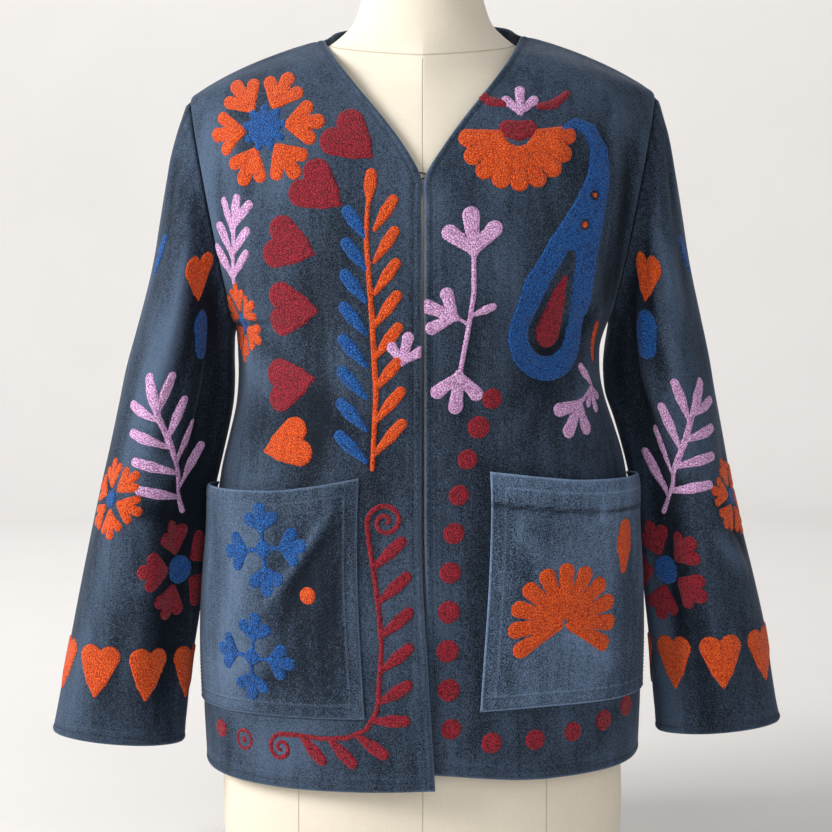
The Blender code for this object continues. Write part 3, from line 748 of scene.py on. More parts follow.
BACK_CENTRE = {
    "height": (466, 540, 600, 660, 700, 733),
    "back": (100, 105, 104.5, 98, 87, 68),
}
BACK_ROW_HEIGHTS = (466, 474, 485, 500, 518, 540, 562, 586, 614, 645, 677, 708, 733)
FAR = 99.0
BACK_NECK_CELLS = 6
BACK_SHOULDER_CELLS = 5
BACK_FOLDS = ((0.80, 0.16, 360, 640, -4.0), (0.45, 0.20, 60, 440, 3.0))
BACK_CREASES = (
    (-150, 470, -80, 520, 10, -2.2), (150, 474, 84, 520, 10, -2.0),
    (-150, 440, -70, 470, 9, 1.5), (150, 442, 76, 466, 9, 1.4),
    (-40, 430, -52, 160, 16, 1.8), (44, 440, 56, 150, 15, 1.6),
    (2, 660, 0, 480, 14, -1.4), (-96, 400, -104, 110, 14, -1.6),
    (100, 410, 108, 100, 13, -1.7), (-60, 640, -74, 560, 10, 1.2),
    (66, 644, 78, 560, 10, 1.1), (-30, 300, -24, 96, 12, -1.2),
    (28, 300, 20, 100, 12, -1.1), (-150, 240, -146, 100, 10, 1.2),
)


def back_top_row():
    """Both shoulder seams and the back neck, from the wearer's right to left."""
    reach = np.linspace(0, 1, BACK_SHOULDER_CELLS + 1)
    shoulder_x = SHOULDER_TIP_X + (NECK_POINT_X - SHOULDER_TIP_X) * reach
    shoulder_z = SHOULDER_TIP_Z + (NECK_POINT_Z - SHOULDER_TIP_Z) * reach + shoulder_bow(1 - reach)
    right = np.stack([-shoulder_x, np.full(len(reach), SEAM_PLANE_Y), shoulder_z], axis=-1)
    turn_by = np.linspace(-math.pi / 2, math.pi / 2, BACK_NECK_CELLS + 1)
    neck_rise = BACK_CENTRE["height"][-1] - NECK_POINT_Z
    neck_y = SEAM_PLANE_Y + (BACK_CENTRE["back"][-1] - SEAM_PLANE_Y) * np.cos(turn_by) ** 0.8
    neck_z = NECK_POINT_Z + neck_rise * np.cos(turn_by) ** 0.8
    neck = np.stack([NECK_POINT_X * np.sin(turn_by), neck_y, neck_z], axis=-1)
    left = right[::-1].copy()
    left[:, 0] *= -1
    return np.concatenate([right, neck[1:-1], left])


def back_columns():
    """Signed shares across the back, finer at the neck, -1 and 1 at the sides."""
    neck_share = NECK_POINT_X / SHOULDER_TIP_X
    shoulder = np.linspace(1, neck_share, BACK_SHOULDER_CELLS + 1)
    neck = neck_share * np.sin(np.linspace(-math.pi / 2, math.pi / 2, BACK_NECK_CELLS + 1))
    return np.concatenate([-shoulder, neck[1:-1], shoulder[::-1]])


def back_row(row, shares):
    """One row of the back, counted from the hem, before the top is blended in."""
    step = row - len(BODY_ROWS_BELOW)
    right = left = 1.0
    if step < 0:
        height = BODY_ROWS_BELOW[row]
        depth, right, left = (table(BODY, key, height) for key in ("back", "right_width", "left_width"))
        outer = np.array([1.0, SEAM_PLANE_Y, height])
    else:
        height = BACK_ROW_HEIGHTS[step]
        depth = table(BACK_CENTRE, "back", height)
        outer = armhole_point(180 + step * ARMHOLE_STEP_DEG, 1)
    inner = np.array([0.0, depth, height])
    points = row_between(inner, outer, ROW_ARC_DEG[max(0, step)], np.abs(shares))
    points[:, 0] *= np.where(shares < 0, -right, left)
    return points


def back_grid():
    """Coarse outer surface of the back with its folds."""
    shares = back_columns()
    rows = len(BODY_ROWS_BELOW) + len(BACK_ROW_HEIGHTS)
    grid = np.array([back_row(r, shares) for r in range(rows)])
    difference = back_top_row() - grid[-1]
    for down, weight in enumerate(SHOULDER_BLEND):
        grid[rows - 1 - down] += difference * weight
    across = np.abs(shares)
    push = fold_height(across, grid[..., 2], BACK_FOLDS) * ease((1 - across) / FOLD_MARGIN)
    return grid + grid_normals(grid, -1) * push[..., None]


def make_back(name, material):
    """The back with close points along its neck edge and hem."""
    grid, down, over = fine_grid(back_grid(), CLOTH_PITCH, (True, True), (False, False))
    x, z = grid[..., 0], grid[..., 2]
    left_run, right_run, hem_run, top_run = four_runs(grid)
    side_run = np.minimum(left_run, right_run)
    inside = ease(side_run / 18) * ease(hem_run / 20) * ease(top_run / 18)
    push = (crease_height(x, z, BACK_CREASES) + uneven(x, z, 2.6)) * inside
    neck = ease((NECK_POINT_X - 3 - np.abs(x[-1])) / 4)
    columns = back_columns()
    shares = np.abs(np.interp(over, np.arange(len(columns)), columns))
    # Painted shade in troughs and painted highlight on ridges of the creases and folds
    fold_shade_and_nap = push * CREASE_PAINTED_SHADE + fold_height(shares, z, BACK_FOLDS)
    push += edge_roll(hem_run) * 0.8 + edge_roll(top_run) * neck
    push += seam_dip(side_run) + seam_dip(top_run) * (1 - neck)
    outer = grid + grid_normals(grid, -1) * push[..., None]
    outward = grid_normals(outer, -1)
    for side, run, column in ((-1, left_run, 0), (1, right_run, -1)):
        straight, ways = side_seam(down, side, 1)
        outward = turned(outward, run, ways)
        outer[straight, column, 1] += SEAM_GAP / 2
        outer[~straight, column] -= armhole_axis(side) * SEAM_GAP / 2
        on_shoulder = x[-1] * side > NECK_POINT_X - 1
        outward = turned(outward, np.where(on_shoulder, top_run, FAR), shoulder_way(side))
        outer[-1, on_shoulder, 1] += SEAM_GAP / 2
    finished = np.minimum(hem_run, np.where(neck > 0.5, top_run, FAR))
    piece = make_cloth(name, -1, outer, outward, material, finished, fold_shade_and_nap)
    return piece, (outer, outward, (right_run - left_run) / 2, z)


back, back_cloth = make_back("back_cloth", velvet_material("velvet_back", 0.95, 3.1))
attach(back, "root")
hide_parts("back")

# Sleeves
# Long, wide set-in velvet sleeves, each one piece closed under the arm. They hang
# empty and clear of the body, with deep folds from the armhole down.

SLEEVE = {
    "outer_z": (659, 641, 612, 570, 522, 478, 430, 380, 318, 256, 194, 148, 116),
    "inner_z": (466, 461, 454, 444, 430, 408, 380, 345, 293, 238, 183, 140, 106),
    "right_outer": (201, 209, 217, 224.5, 232.5, 243, 256, 266, 280, 293, 305, 314, 320.5),
    "right_inner": (161, 162.8, 163.8, 164, 163.8, 164.6, 169.2, 177.6, 188.5, 193.5, 201, 205, 207),
    "left_outer": (201, 208.5, 215, 222, 229, 237.5, 247, 256.5, 268, 283, 297, 304, 310),
    "left_inner": (161, 162.2, 161.4, 159.4, 157.6, 158.6, 167.4, 177.6, 188.2, 193.5, 199, 201, 203),
    "depth": (46, 50, 54, 57, 59, 59.5, 58.5, 57, 55, 52, 48, 45, 42),
    "forward": (-2, -2, -2, -1, 0, 2, 5, 8, 12, 15, 17, 18, 18),
}
SLEEVE_RINGS = 19
RING_POINTS = 24
MM_PER_DEGREE = 0.92
PUCKERS = 26
PUCKER_HEIGHT = 0.7
PUCKER_REACH = 26
PUCKER_HALF_TURN = 110
# Folds of each sleeve: degrees, half width in degrees, shares down at both ends,
# height out; 0 degrees is the outer side, 90 the front and 180 the under-arm seam
RIGHT_SLEEVE_FOLDS = (
    (134, 38, 0.02, 0.92, -14.0), (72, 32, 0.05, 0.80, 4.5), (150, 34, 0.55, 1.05, -3.0),
    (300, 34, 0.10, 0.60, -3.5), (245, 30, 0.35, 0.95, 3.0),
)
LEFT_SLEEVE_FOLDS = (
    (132, 38, 0.02, 0.84, -14.0), (70, 30, 0.05, 0.70, 4.5), (30, 26, 0.50, 0.80, -2.5),
    (140, 32, 0.55, 1.05, -3.0), (290, 34, 0.10, 0.60, -3.5), (240, 30, 0.35, 0.95, 3.0),
)
# Creases of each sleeve: degrees round and share down at both ends, half width
# in millimetres, height out
RIGHT_SLEEVE_CREASES = (
    (100, 0.05, 96, 0.50, 7, -3.8), (84, 0.06, 76, 0.42, 6, 2.8), (128, 0.10, 122, 0.40, 6, 2.2),
    (40, 0.03, 52, 0.18, 6, -1.2), (20, 0.04, 34, 0.16, 6, 1.2), (60, 0.03, 66, 0.14, 5, -1.0),
    (150, 0.48, 60, 0.60, 8, -2.4), (140, 0.40, 70, 0.49, 7, 2.0), (130, 0.62, 84, 0.72, 7, 1.8),
    (92, 0.60, 82, 0.98, 9, -1.6), (58, 0.55, 54, 0.96, 9, 1.4), (20, 0.5, 24, 0.95, 10, -1.2),
    (260, 0.15, 250, 0.55, 8, -2.0), (300, 0.10, 290, 0.45, 8, 1.8), (330, 0.45, 240, 0.56, 8, -1.8),
    (280, 0.60, 274, 0.96, 9, 1.5), (220, 0.40, 300, 0.50, 7, 1.4), (181, 0.10, 181, 0.95, 18, 3.2),
)
LEFT_SLEEVE_CREASES = (
    (98, 0.04, 92, 0.36, 7, -4.0), (80, 0.06, 62, 0.30, 6, 2.8), (118, 0.10, 108, 0.44, 6, 2.4),
    (34, 0.03, 50, 0.18, 6, -1.2), (16, 0.04, 30, 0.16, 6, 1.2), (56, 0.03, 64, 0.13, 5, -1.0),
    (70, 0.58, 24, 0.72, 7, -3.2), (78, 0.64, 34, 0.76, 6, 2.6), (150, 0.44, 84, 0.54, 8, -2.2),
    (96, 0.58, 88, 0.98, 9, 1.4), (60, 0.70, 56, 0.98, 8, -1.3), (20, 0.30, 30, 0.56, 8, 1.2),
    (262, 0.15, 252, 0.55, 8, -2.0), (304, 0.10, 292, 0.45, 8, 1.8), (328, 0.47, 244, 0.57, 8, -1.7),
    (284, 0.60, 276, 0.96, 9, 1.5), (224, 0.38, 300, 0.48, 7, 1.3), (181, 0.10, 181, 0.95, 18, 3.2),
)
# Paler and darker streaks of each sleeve, partly the pile's brushing and partly painted light and shade, in
# the same columns as the creases; the rows at 181 degrees take back the painted highlight of the crease
# there
RIGHT_SLEEVE_NAP_AND_PAINTED_LIGHT = (
    (66, 0.20, 62, 0.60, 10, 3.5), (90, 0.55, 96, 1.10, 16, 3.0),
    (40, 0.80, 40, 1.15, 20, 2.5), (181, 0.10, 181, 0.95, 18, -8.0),
)
LEFT_SLEEVE_NAP_AND_PAINTED_LIGHT = (
    (98, 0.50, 98, 1.10, 26, -7.0), (148, 0.55, 148, 1.15, 16, 9.0),
    (40, 0.75, 40, 1.2, 14, 2.0), (181, 0.10, 181, 0.95, 18, -8.0),
)


def sleeve_grid(side, folds):
    """Coarse rings of a sleeve from the armhole to the cuff, with the largest folds."""
    wearer = "right" if side < 0 else "left"
    stations = np.linspace(0, 1, len(SLEEVE["depth"]))
    places = np.linspace(0, 1, SLEEVE_RINGS)
    outer_z, inner_z, outer_x, inner_x, depth, forward = (
        smooth_curve(stations, SLEEVE[key], places)[:, None]
        for key in ("outer_z", "inner_z", wearer + "_outer", wearer + "_inner", "depth", "forward")
    )
    degrees = np.arange(RING_POINTS) * 360 / RING_POINTS
    sideways = np.cos(np.radians(degrees))
    narrowing = ARMHOLE_NARROWING * (1 - ease(places[:, None] / 0.35))
    rings = np.stack([
        side * ((outer_x + inner_x) / 2 + (outer_x - inner_x) / 2 * sideways),
        -forward - depth * (1 - narrowing * sideways) * np.sin(np.radians(degrees)),
        (outer_z + inner_z) / 2 + (outer_z - inner_z) / 2 * sideways,
    ], axis=-1)
    rings[0] = [armhole_point(d, side) for d in degrees]
    push = fold_height(degrees, places[:, None], folds)
    return rings + grid_normals(rings, side, ring=True) * push[..., None]


def make_sleeve(name, side, folds, creases, nap_and_painted_light, material):
    """A sleeve with close points at its turned cuff; returns piece and surface."""
    grid, down, over = fine_grid(sleeve_grid(side, folds), CLOTH_PITCH, (False, True))
    top_run = run_from(grid, 0)
    cuff_run = run_from(grid, 0, True)
    degrees = over * 360 / RING_POINTS
    around = degrees * MM_PER_DEGREE + 0 * top_run
    length = top_run[-1].mean()
    along = top_run / top_run[-1] * length

    def lines_height(lines):
        scale = (MM_PER_DEGREE, length, MM_PER_DEGREE, length, 1, 1)
        return crease_height(around, along, np.array(lines) * scale)

    push = lines_height(creases) + uneven(around * 1.1, along, 4.0 + side)
    pucker = PUCKER_HEIGHT * np.sin(np.radians(degrees) * PUCKERS)
    pucker = pucker * ease(1 - top_run / PUCKER_REACH) * ease(top_run / 5)
    high = ease((PUCKER_HALF_TURN - np.abs((degrees + 180) % 360 - 180)) / 40)
    push = push * ease(top_run / 22) * ease(cuff_run / 16) + pucker * high
    # Painted shade in troughs and painted highlight on ridges of the creases, puckers and folds, with the
    # pile's brushing and painted light
    fold_shade_and_nap = push * CREASE_PAINTED_SHADE + fold_height(degrees, down[:, None] / (SLEEVE_RINGS - 1), folds)
    fold_shade_and_nap += lines_height(nap_and_painted_light)
    push += edge_roll(cuff_run) + seam_dip(top_run)
    outer = grid + grid_normals(grid, side, ring=True) * push[..., None]
    at_top = np.array([armhole_outward(d, side, False) for d in degrees])
    outward = turned(grid_normals(outer, side, ring=True), top_run, at_top)
    outer[0] += armhole_axis(side) * SEAM_GAP / 2
    piece = make_cloth(name, side, outer, outward, material, cuff_run, fold_shade_and_nap, ring=True)
    return piece, (outer, outward, grid, cuff_run)


sleeve_velvet = velvet_material("velvet_sleeves", 0.92, 1.7)
sleeve_cloth = {}
for wearer, side, *looks in (
    ("right", -1, RIGHT_SLEEVE_FOLDS, RIGHT_SLEEVE_CREASES, RIGHT_SLEEVE_NAP_AND_PAINTED_LIGHT),
    ("left", 1, LEFT_SLEEVE_FOLDS, LEFT_SLEEVE_CREASES, LEFT_SLEEVE_NAP_AND_PAINTED_LIGHT),
):
    name = "sleeve_" + wearer + "_cloth"
    piece, sleeve_cloth[wearer] = make_sleeve(name, side, *looks, sleeve_velvet)
    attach(piece, "root")
    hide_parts("sleeve_" + wearer)

# Pockets
# Large velvet patch pockets, paler where the pile lies the other way, sewn to the
# fronts on three sides. The mouth is hemmed and hangs open.

POCKET_WALL = 1.8
POCKET_PITCH = 2.8
POCKET_MOUTH = {
    "along": (0.0, 0.12, 0.35, 0.6, 0.85, 1.0),
    "height": (341, 337, 331, 329, 330, 331),
}
POCKET_MOUTH_GAPE = 14.0
POCKET_BELLY = 10.0
RIGHT_POCKET_CREASES = (
    (-70, 322, -136, 226, 4.5, 3.2), (-60, 314, -124, 214, 9, -2.4), (-60, 300, -66, 180, 9, -1.2),
    (-120, 220, -160, 168, 9, 1.6), (-100, 190, -150, 160, 8, -1.2), (-170, 320, -172, 180, 8, -1.2),
    (-66, 330, -86, 160, 26, -1.5), (-152, 330, -158, 170, 18, 1.2),
)
# Paler and darker streaks of each pocket, partly the pile's brushing and partly painted light and shade
RIGHT_POCKET_NAP_AND_PAINTED_LIGHT = ((-66, 350, -84, 130, 24, -3.2), (-150, 360, -160, 130, 20, 4.5))
LEFT_POCKET_NAP_AND_PAINTED_LIGHT = ((50, 332, 176, 338, 24, 2.0),)
LEFT_POCKET_CREASES = (
    (150, 312, 138, 286, 6, 2.0), (140, 314, 146, 284, 5, -1.6), (72, 306, 110, 252, 8, 1.6),
    (90, 300, 78, 190, 9, -1.1), (120, 210, 164, 172, 9, 1.4), (172, 318, 174, 184, 8, -1.3),
)
# Profiles of the sewn edges and of the hemmed mouth: distances from the edge, heights out
POCKET_SEWN = ((0, 1.2, 3, 6, 9, 10, 11, 12.2, 14), (-0.5, 0.0, 0.3, 0.2, 0.1, -0.55, -0.1, 0.35, 0))
POCKET_HEM_OUT = (-0.6, 0.1, 0.5, 0.35, -0.6, 0.1, 0)
BAND_HALF_WIDTH = 1.6
POCKET_BANDS = {"right": 12.0, "left": 27.0}


def make_pocket(name, side, creases, nap_and_painted_light, band, band_shade, material):
    """A pocket from points of its front moved out; returns piece and surface."""
    front = front_grid(side)
    columns = slice(POCKET_FIRST_COLUMN, POCKET_LAST_COLUMN + 1)
    along = np.linspace(0, 1, POCKET_LAST_COLUMN - POCKET_FIRST_COLUMN + 1)
    mouth = table(POCKET_MOUTH, "height", along)
    bottom = BODY_ROWS_BELOW[POCKET_BOTTOM_ROW]
    low, high = BODY_ROWS_BELOW[POCKET_UPPER_ROW:POCKET_UPPER_ROW + 2]
    part_way = ((mouth - low) / (high - low))[:, None]

    def with_mouth(values):
        """Values up to the pocket's highest row, then those at its mouth."""
        below = values[POCKET_BOTTOM_ROW:POCKET_UPPER_ROW + 1, columns]
        above = values[POCKET_UPPER_ROW + 1, columns]
        return np.concatenate([below, (below[-1] * (1 - part_way) + above * part_way)[None]])

    points = with_mouth(front)
    directions = unit(with_mouth(grid_normals(front, side)))
    up = (points[..., 2] - bottom) / (mouth - bottom)
    hump = np.sin(np.pi * along) ** 0.5
    belly = POCKET_BELLY * np.sin(np.pi * np.clip(up * 0.62, 0, 1)) ** 0.8
    gape = POCKET_MOUTH_GAPE * ease((up - 0.45) / 0.55)
    stand_off = SEAM_GAP + hump * np.maximum(belly, gape) + POCKET_WALL
    coarse = points + directions * stand_off[..., None]
    grid = fine_grid(coarse, POCKET_PITCH, (True, True), (True, True))[0]
    x, z = grid[..., 0], grid[..., 2]
    inner_run, outer_run, foot_run, mouth_run = four_runs(grid)
    inside = ease(inner_run / 22) * ease(outer_run / 22) * ease(foot_run / 22) * ease(mouth_run / 14)
    push = (crease_height(x, z, creases) + 0.8 * uneven(x, z, 5.5)) * inside
    # Painted shade in troughs and painted highlight on ridges of the creases, the pile's brushing with
    # painted light, and a painted shade line along the hem band where band_shade is set
    fold_shade_and_nap = push * CREASE_PAINTED_SHADE + crease_height(x, z, nap_and_painted_light)
    fold_shade_and_nap += band_shade * np.exp(-((mouth_run - band) / BAND_HALF_WIDTH) ** 2)
    sewn = np.minimum(np.minimum(inner_run, outer_run), foot_run)
    from_mouth = (0, 1.2, 3, band - 1, band, band + 1, band + 4)
    push += np.interp(sewn, *POCKET_SEWN)
    push += np.interp(mouth_run, from_mouth, POCKET_HEM_OUT)
    outer = grid + grid_normals(grid, side) * push[..., None]
    outward = grid_normals(outer, side)
    piece = make_cloth(name, side, outer, outward, material, np.minimum(sewn, mouth_run), fold_shade_and_nap, POCKET_WALL)
    return piece, (outer, outward, side * inner_run, foot_run)


pocket_cloth = {}
for wearer, side, creases, nap_and_painted_light, band_shade, light, seed in (
    ("right", -1, RIGHT_POCKET_CREASES, RIGHT_POCKET_NAP_AND_PAINTED_LIGHT, 0.0, 1.3, 5.3),
    ("left", 1, LEFT_POCKET_CREASES, LEFT_POCKET_NAP_AND_PAINTED_LIGHT, -6.5, 2.05, 6.9),
):
    pocket_velvet = velvet_material("velvet_pocket_" + wearer, light, seed, 0.28)
    name = "pocket_" + wearer + "_cloth"
    band = POCKET_BANDS[wearer]
    piece, pocket_cloth[wearer] = make_pocket(name, side, creases, nap_and_painted_light, band, band_shade, pocket_velvet)
    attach(piece, "root")
    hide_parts("pocket_" + wearer)

# Topstitching
# Single rows of strong slate thread along the turned neck, front, hem and cuff edges
# and round the pockets, about three millimetres to a stitch.

STITCH_PITCH = 3.1
STITCH_LENGTH = 2.3
STITCH_HALF_WIDTH = 0.36
EDGE_STITCH = 6.2
POCKET_EDGE_STITCH = 2.2
POCKET_BAND_STITCH = 11.0
STITCH_SIDES = 5
STITCH_SHOULDER = 0.3
STITCH_LIFT = 0.35


def line_at(cloth, axis, distance, from_end=False):
    """Points and ways out at a distance from one edge of a cloth surface."""
    outer, outward = cloth[:2]
    run = run_from(outer, axis, from_end)
    both = np.concatenate([outer, outward], axis=-1)
    if axis == 0:
        run = run.T
        both = both.transpose(1, 0, 2)
    if from_end:
        run = run[:, ::-1]
        both = both[:, ::-1]
    line = [[np.interp(distance, away, values[:, k]) for k in range(6)] for away, values in zip(run, both)]
    line = np.array(line)
    return line[:, :3], unit(line[:, 3:])


def stitch_row(line, trim_start=0.0, trim_end=0.0):
    """Spindle-shaped stitches along a line; returns their points and faces."""
    points, ways = line
    length = np.concatenate([[0], np.cumsum(np.linalg.norm(np.diff(points, axis=0), axis=1))])
    middles = np.arange(trim_start + STITCH_PITCH, length[-1] - trim_end - STITCH_PITCH, STITCH_PITCH)

    def along(values, at_length):
        return np.stack([np.interp(at_length, length, values[:, k]) for k in range(3)], axis=-1)

    here = along(points, middles)
    run = unit(along(points, middles + 0.5) - along(points, middles - 0.5))
    way = unit(along(ways, middles))
    across = np.cross(run, way)
    rings = [here - run * STITCH_LENGTH / 2]
    for shift in (-STITCH_SHOULDER, STITCH_SHOULDER):
        for k in range(STITCH_SIDES):
            turn_by = 2 * math.pi * k / STITCH_SIDES
            off = across * math.cos(turn_by) + way * (math.sin(turn_by) + STITCH_LIFT)
            rings.append(here + run * STITCH_LENGTH * shift + off * STITCH_HALF_WIDTH)
    rings.append(here + run * STITCH_LENGTH / 2)
    vertices = np.stack(rings, axis=1)
    low, high, last = 1, 1 + STITCH_SIDES, 1 + 2 * STITCH_SIDES
    pattern = []
    for k in range(STITCH_SIDES):
        after = (k + 1) % STITCH_SIDES
        pattern += [
            (0, low + after, low + k), (low + k, low + after, high + after),
            (low + k, high + after, high + k), (last, high + k, high + after),
        ]
    faces = np.array(pattern)[None] + (np.arange(len(middles)) * (last + 1))[:, None, None]
    return vertices.reshape(-1, 3), faces.reshape(-1, 3)


def merged(parts):
    """Points and faces of several small meshes as one array of each."""
    starts = np.cumsum([0] + [len(points) for points, _ in parts])
    faces = [faces + start for (_, faces), start in zip(parts, starts)]
    return np.concatenate([points for points, _ in parts]), np.concatenate(faces)


def stitching(name, slot, *rows):
    """All rows of stitches on one piece of cloth."""
    points, faces = merged(rows)
    piece = make_piece(name, lifted(points), faces.tolist(), stitch_thread)
    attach(piece, "root")


def stitch_material():
    """Twisted polyester sewing thread in dark slate."""
    shader = Shader("stitch_thread", Specular_IOR_Level=0.3)
    place = shader.place()
    twist = shader.noise(place, 1400.0, 2.0)
    fade = shader.noise(place, 30.0, 2.0)
    tone = (twist * 0.6 + fade * 0.4).clamped()
    colour = shader.mix(tone, (0.012, 0.018, 0.030), (0.080, 0.110, 0.160))
    rough = 0.6 + twist * 0.2
    return shader.finish(Base_Color=colour, Roughness=rough, Normal=shader.bump(twist, 0.0003, 0.6))


stitch_thread = stitch_material()
for wearer, cloth in front_cloth.items():
    rows = [stitch_row(line_at(cloth, axis, EDGE_STITCH), EDGE_STITCH, 1.0) for axis in (1, 0)]
    stitching("stitches_front_" + wearer, "velvet", *rows)
neck_points, neck_ways = line_at(back_cloth, 0, EDGE_STITCH, True)
on_neck = np.abs(neck_points[:, 0]) < NECK_POINT_X
stitching(
    "stitches_back", "velvet", stitch_row((neck_points[on_neck], neck_ways[on_neck])),
    stitch_row(line_at(back_cloth, 0, EDGE_STITCH)),
)
for wearer, cloth in sleeve_cloth.items():
    closed = [np.concatenate([line, line[:1]]) for line in line_at(cloth, 0, EDGE_STITCH, True)]
    stitching("stitches_sleeve_" + wearer, "velvet", stitch_row(closed))
for wearer, cloth in pocket_cloth.items():
    band_line = line_at(cloth, 0, POCKET_BANDS[wearer], True)
    rows = [stitch_row(band_line, POCKET_BAND_STITCH, POCKET_BAND_STITCH)]
    for inset in (POCKET_EDGE_STITCH, POCKET_BAND_STITCH):
        rows.append(stitch_row(line_at(cloth, 1, inset), inset, 1.0))
        rows.append(stitch_row(line_at(cloth, 1, inset, True), inset, 1.0))
        rows.append(stitch_row(line_at(cloth, 0, inset), inset, inset))
    stitching("stitches_pocket_" + wearer, "pocket_velvet", *rows)

# Front fastening
# One small black wire hook at the foot of the neck opening, sewn inside the right
# front so that only its bend shows at the edge.

HOOK_WIRE = 0.55
HOOK_HEIGHT = 584.0
HOOK_SIDES = 8
HOOK_IN_FROM_EDGE = 3.4
hook_line = np.array([
    (-6, 0, 3), (-3, 0, 3.2), (0, 0, 3.0), (3, 0.2, 2.4), (4.6, 0.4, 1.1),
    (4.8, 0.5, -0.4), (3.6, 0.4, -1.6), (1, 0.2, -2.0), (-3, 0, -2.0), (-6, 0, -1.8),
])
row = int(np.argmin(np.abs(front_cloth["right"][3][:, 0] - HOOK_HEIGHT)))
hook_place = front_cloth["right"][0][row, 0] + np.array([0.0, HOOK_IN_FROM_EDGE, 0.0])
hook_way = unit(np.gradient(hook_line, axis=0))
hook_rings = []
for spot, way in zip(hook_line, hook_way):
    across = unit(np.cross(way, (0.0, 1.0, 0.0)))
    around = np.arange(HOOK_SIDES) * 2 * math.pi / HOOK_SIDES
    ring = across[None] * np.cos(around)[:, None] + np.cross(across, way)[None] * np.sin(around)[:, None]
    hook_rings.append(spot + ring * HOOK_WIRE)
hook_points = lifted(np.concatenate(hook_rings) + hook_place)
hook_faces = ring_faces(len(hook_rings), HOOK_SIDES)
enamel = Shader("hook_enamel", Metallic=0.6)
wear = enamel.noise(enamel.place(), 900.0, 2.0)
black = enamel.mix(wear, (0.012, 0.012, 0.014), (0.05, 0.05, 0.055))
enamel.finish(Base_Color=black, Roughness=0.3 + wear * 0.25, Normal=enamel.bump(wear, 0.0001, 0.4))
hook = make_piece("front_hook", hook_points, hook_faces, enamel.material)
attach(hook, "root")

# Embroidery
# Chain stitch in thick cotton thread, worked line beside line, so that each motif
# stands about a millimetre proud: common flowers, hearts, leaves, vines and dots.

THREAD_PITCH = 1.6
THREAD_RISE = 1.15
THREAD_SHOULDER = 2.2
THREAD_ROOT = 0.35
CHAIN_WIDTH = 0.9
SLOPE_STEP = 0.2
ON_PANEL = 0.02


def thread_material(name, deep, full, pale):
    """Cotton chain stitch: rows of small plump loops, with painted shade in the gaps between them and
    painted highlight on their plump middles.
    """
    shader = Shader(name, Specular_IOR_Level=0.25, Sheen_Weight=0.12, Sheen_Roughness=0.5)
    place = shader.place()
    sway = shader.noise(place, 240.0, 2.0)
    across = shader.mark("from_edge") * 0.5 + sway * 2.6
    rows = (across * (2 * math.pi / CHAIN_WIDTH)).math("SINE") * 0.5 + 0.5
    loops = shader.add("ShaderNodeTexVoronoi", {"feature": "DISTANCE_TO_EDGE"}, {
        "Vector": place, "Scale": 480.0, "Randomness": 1.0}, "Distance")
    plump = (loops * 4.6 - 0.12).clamped()
    grain = shader.noise(place, 1500.0, 2.0)
    twist = plump * 0.62 + rows * 0.38
    tone = (twist * 1.15 + (grain - 0.5) * 0.5 - 0.06).clamped()
    # Colour runs from painted shade in the gaps between loops and rows, through the thread's own colour, to
    # painted highlight on the loops' middles
    middle = shader.mix((tone * 2.0).clamped(), deep, full)
    colour = shader.mix((tone * 2.0 - 1.0).clamped(), middle, pale)
    rough = 0.72 + grain * 0.15
    return shader.finish(Base_Color=colour, Roughness=rough, Normal=shader.bump(twist, 0.0011, 0.85))


THREADS = {
    colour: thread_material("thread_" + colour, *shades) for colour, *shades in (
        ("orange", (0.28, 0.016, 0.002), (0.76, 0.078, 0.004), (0.88, 0.145, 0.018)),
        ("crimson", (0.045, 0.001, 0.004), (0.265, 0.004, 0.018), (0.42, 0.018, 0.045)),
        ("cobalt", (0.001, 0.011, 0.050), (0.003, 0.074, 0.32), (0.012, 0.16, 0.51)),
        ("lilac", (0.26, 0.10, 0.27), (0.72, 0.39, 0.71), (0.87, 0.62, 0.88)),
    )
}


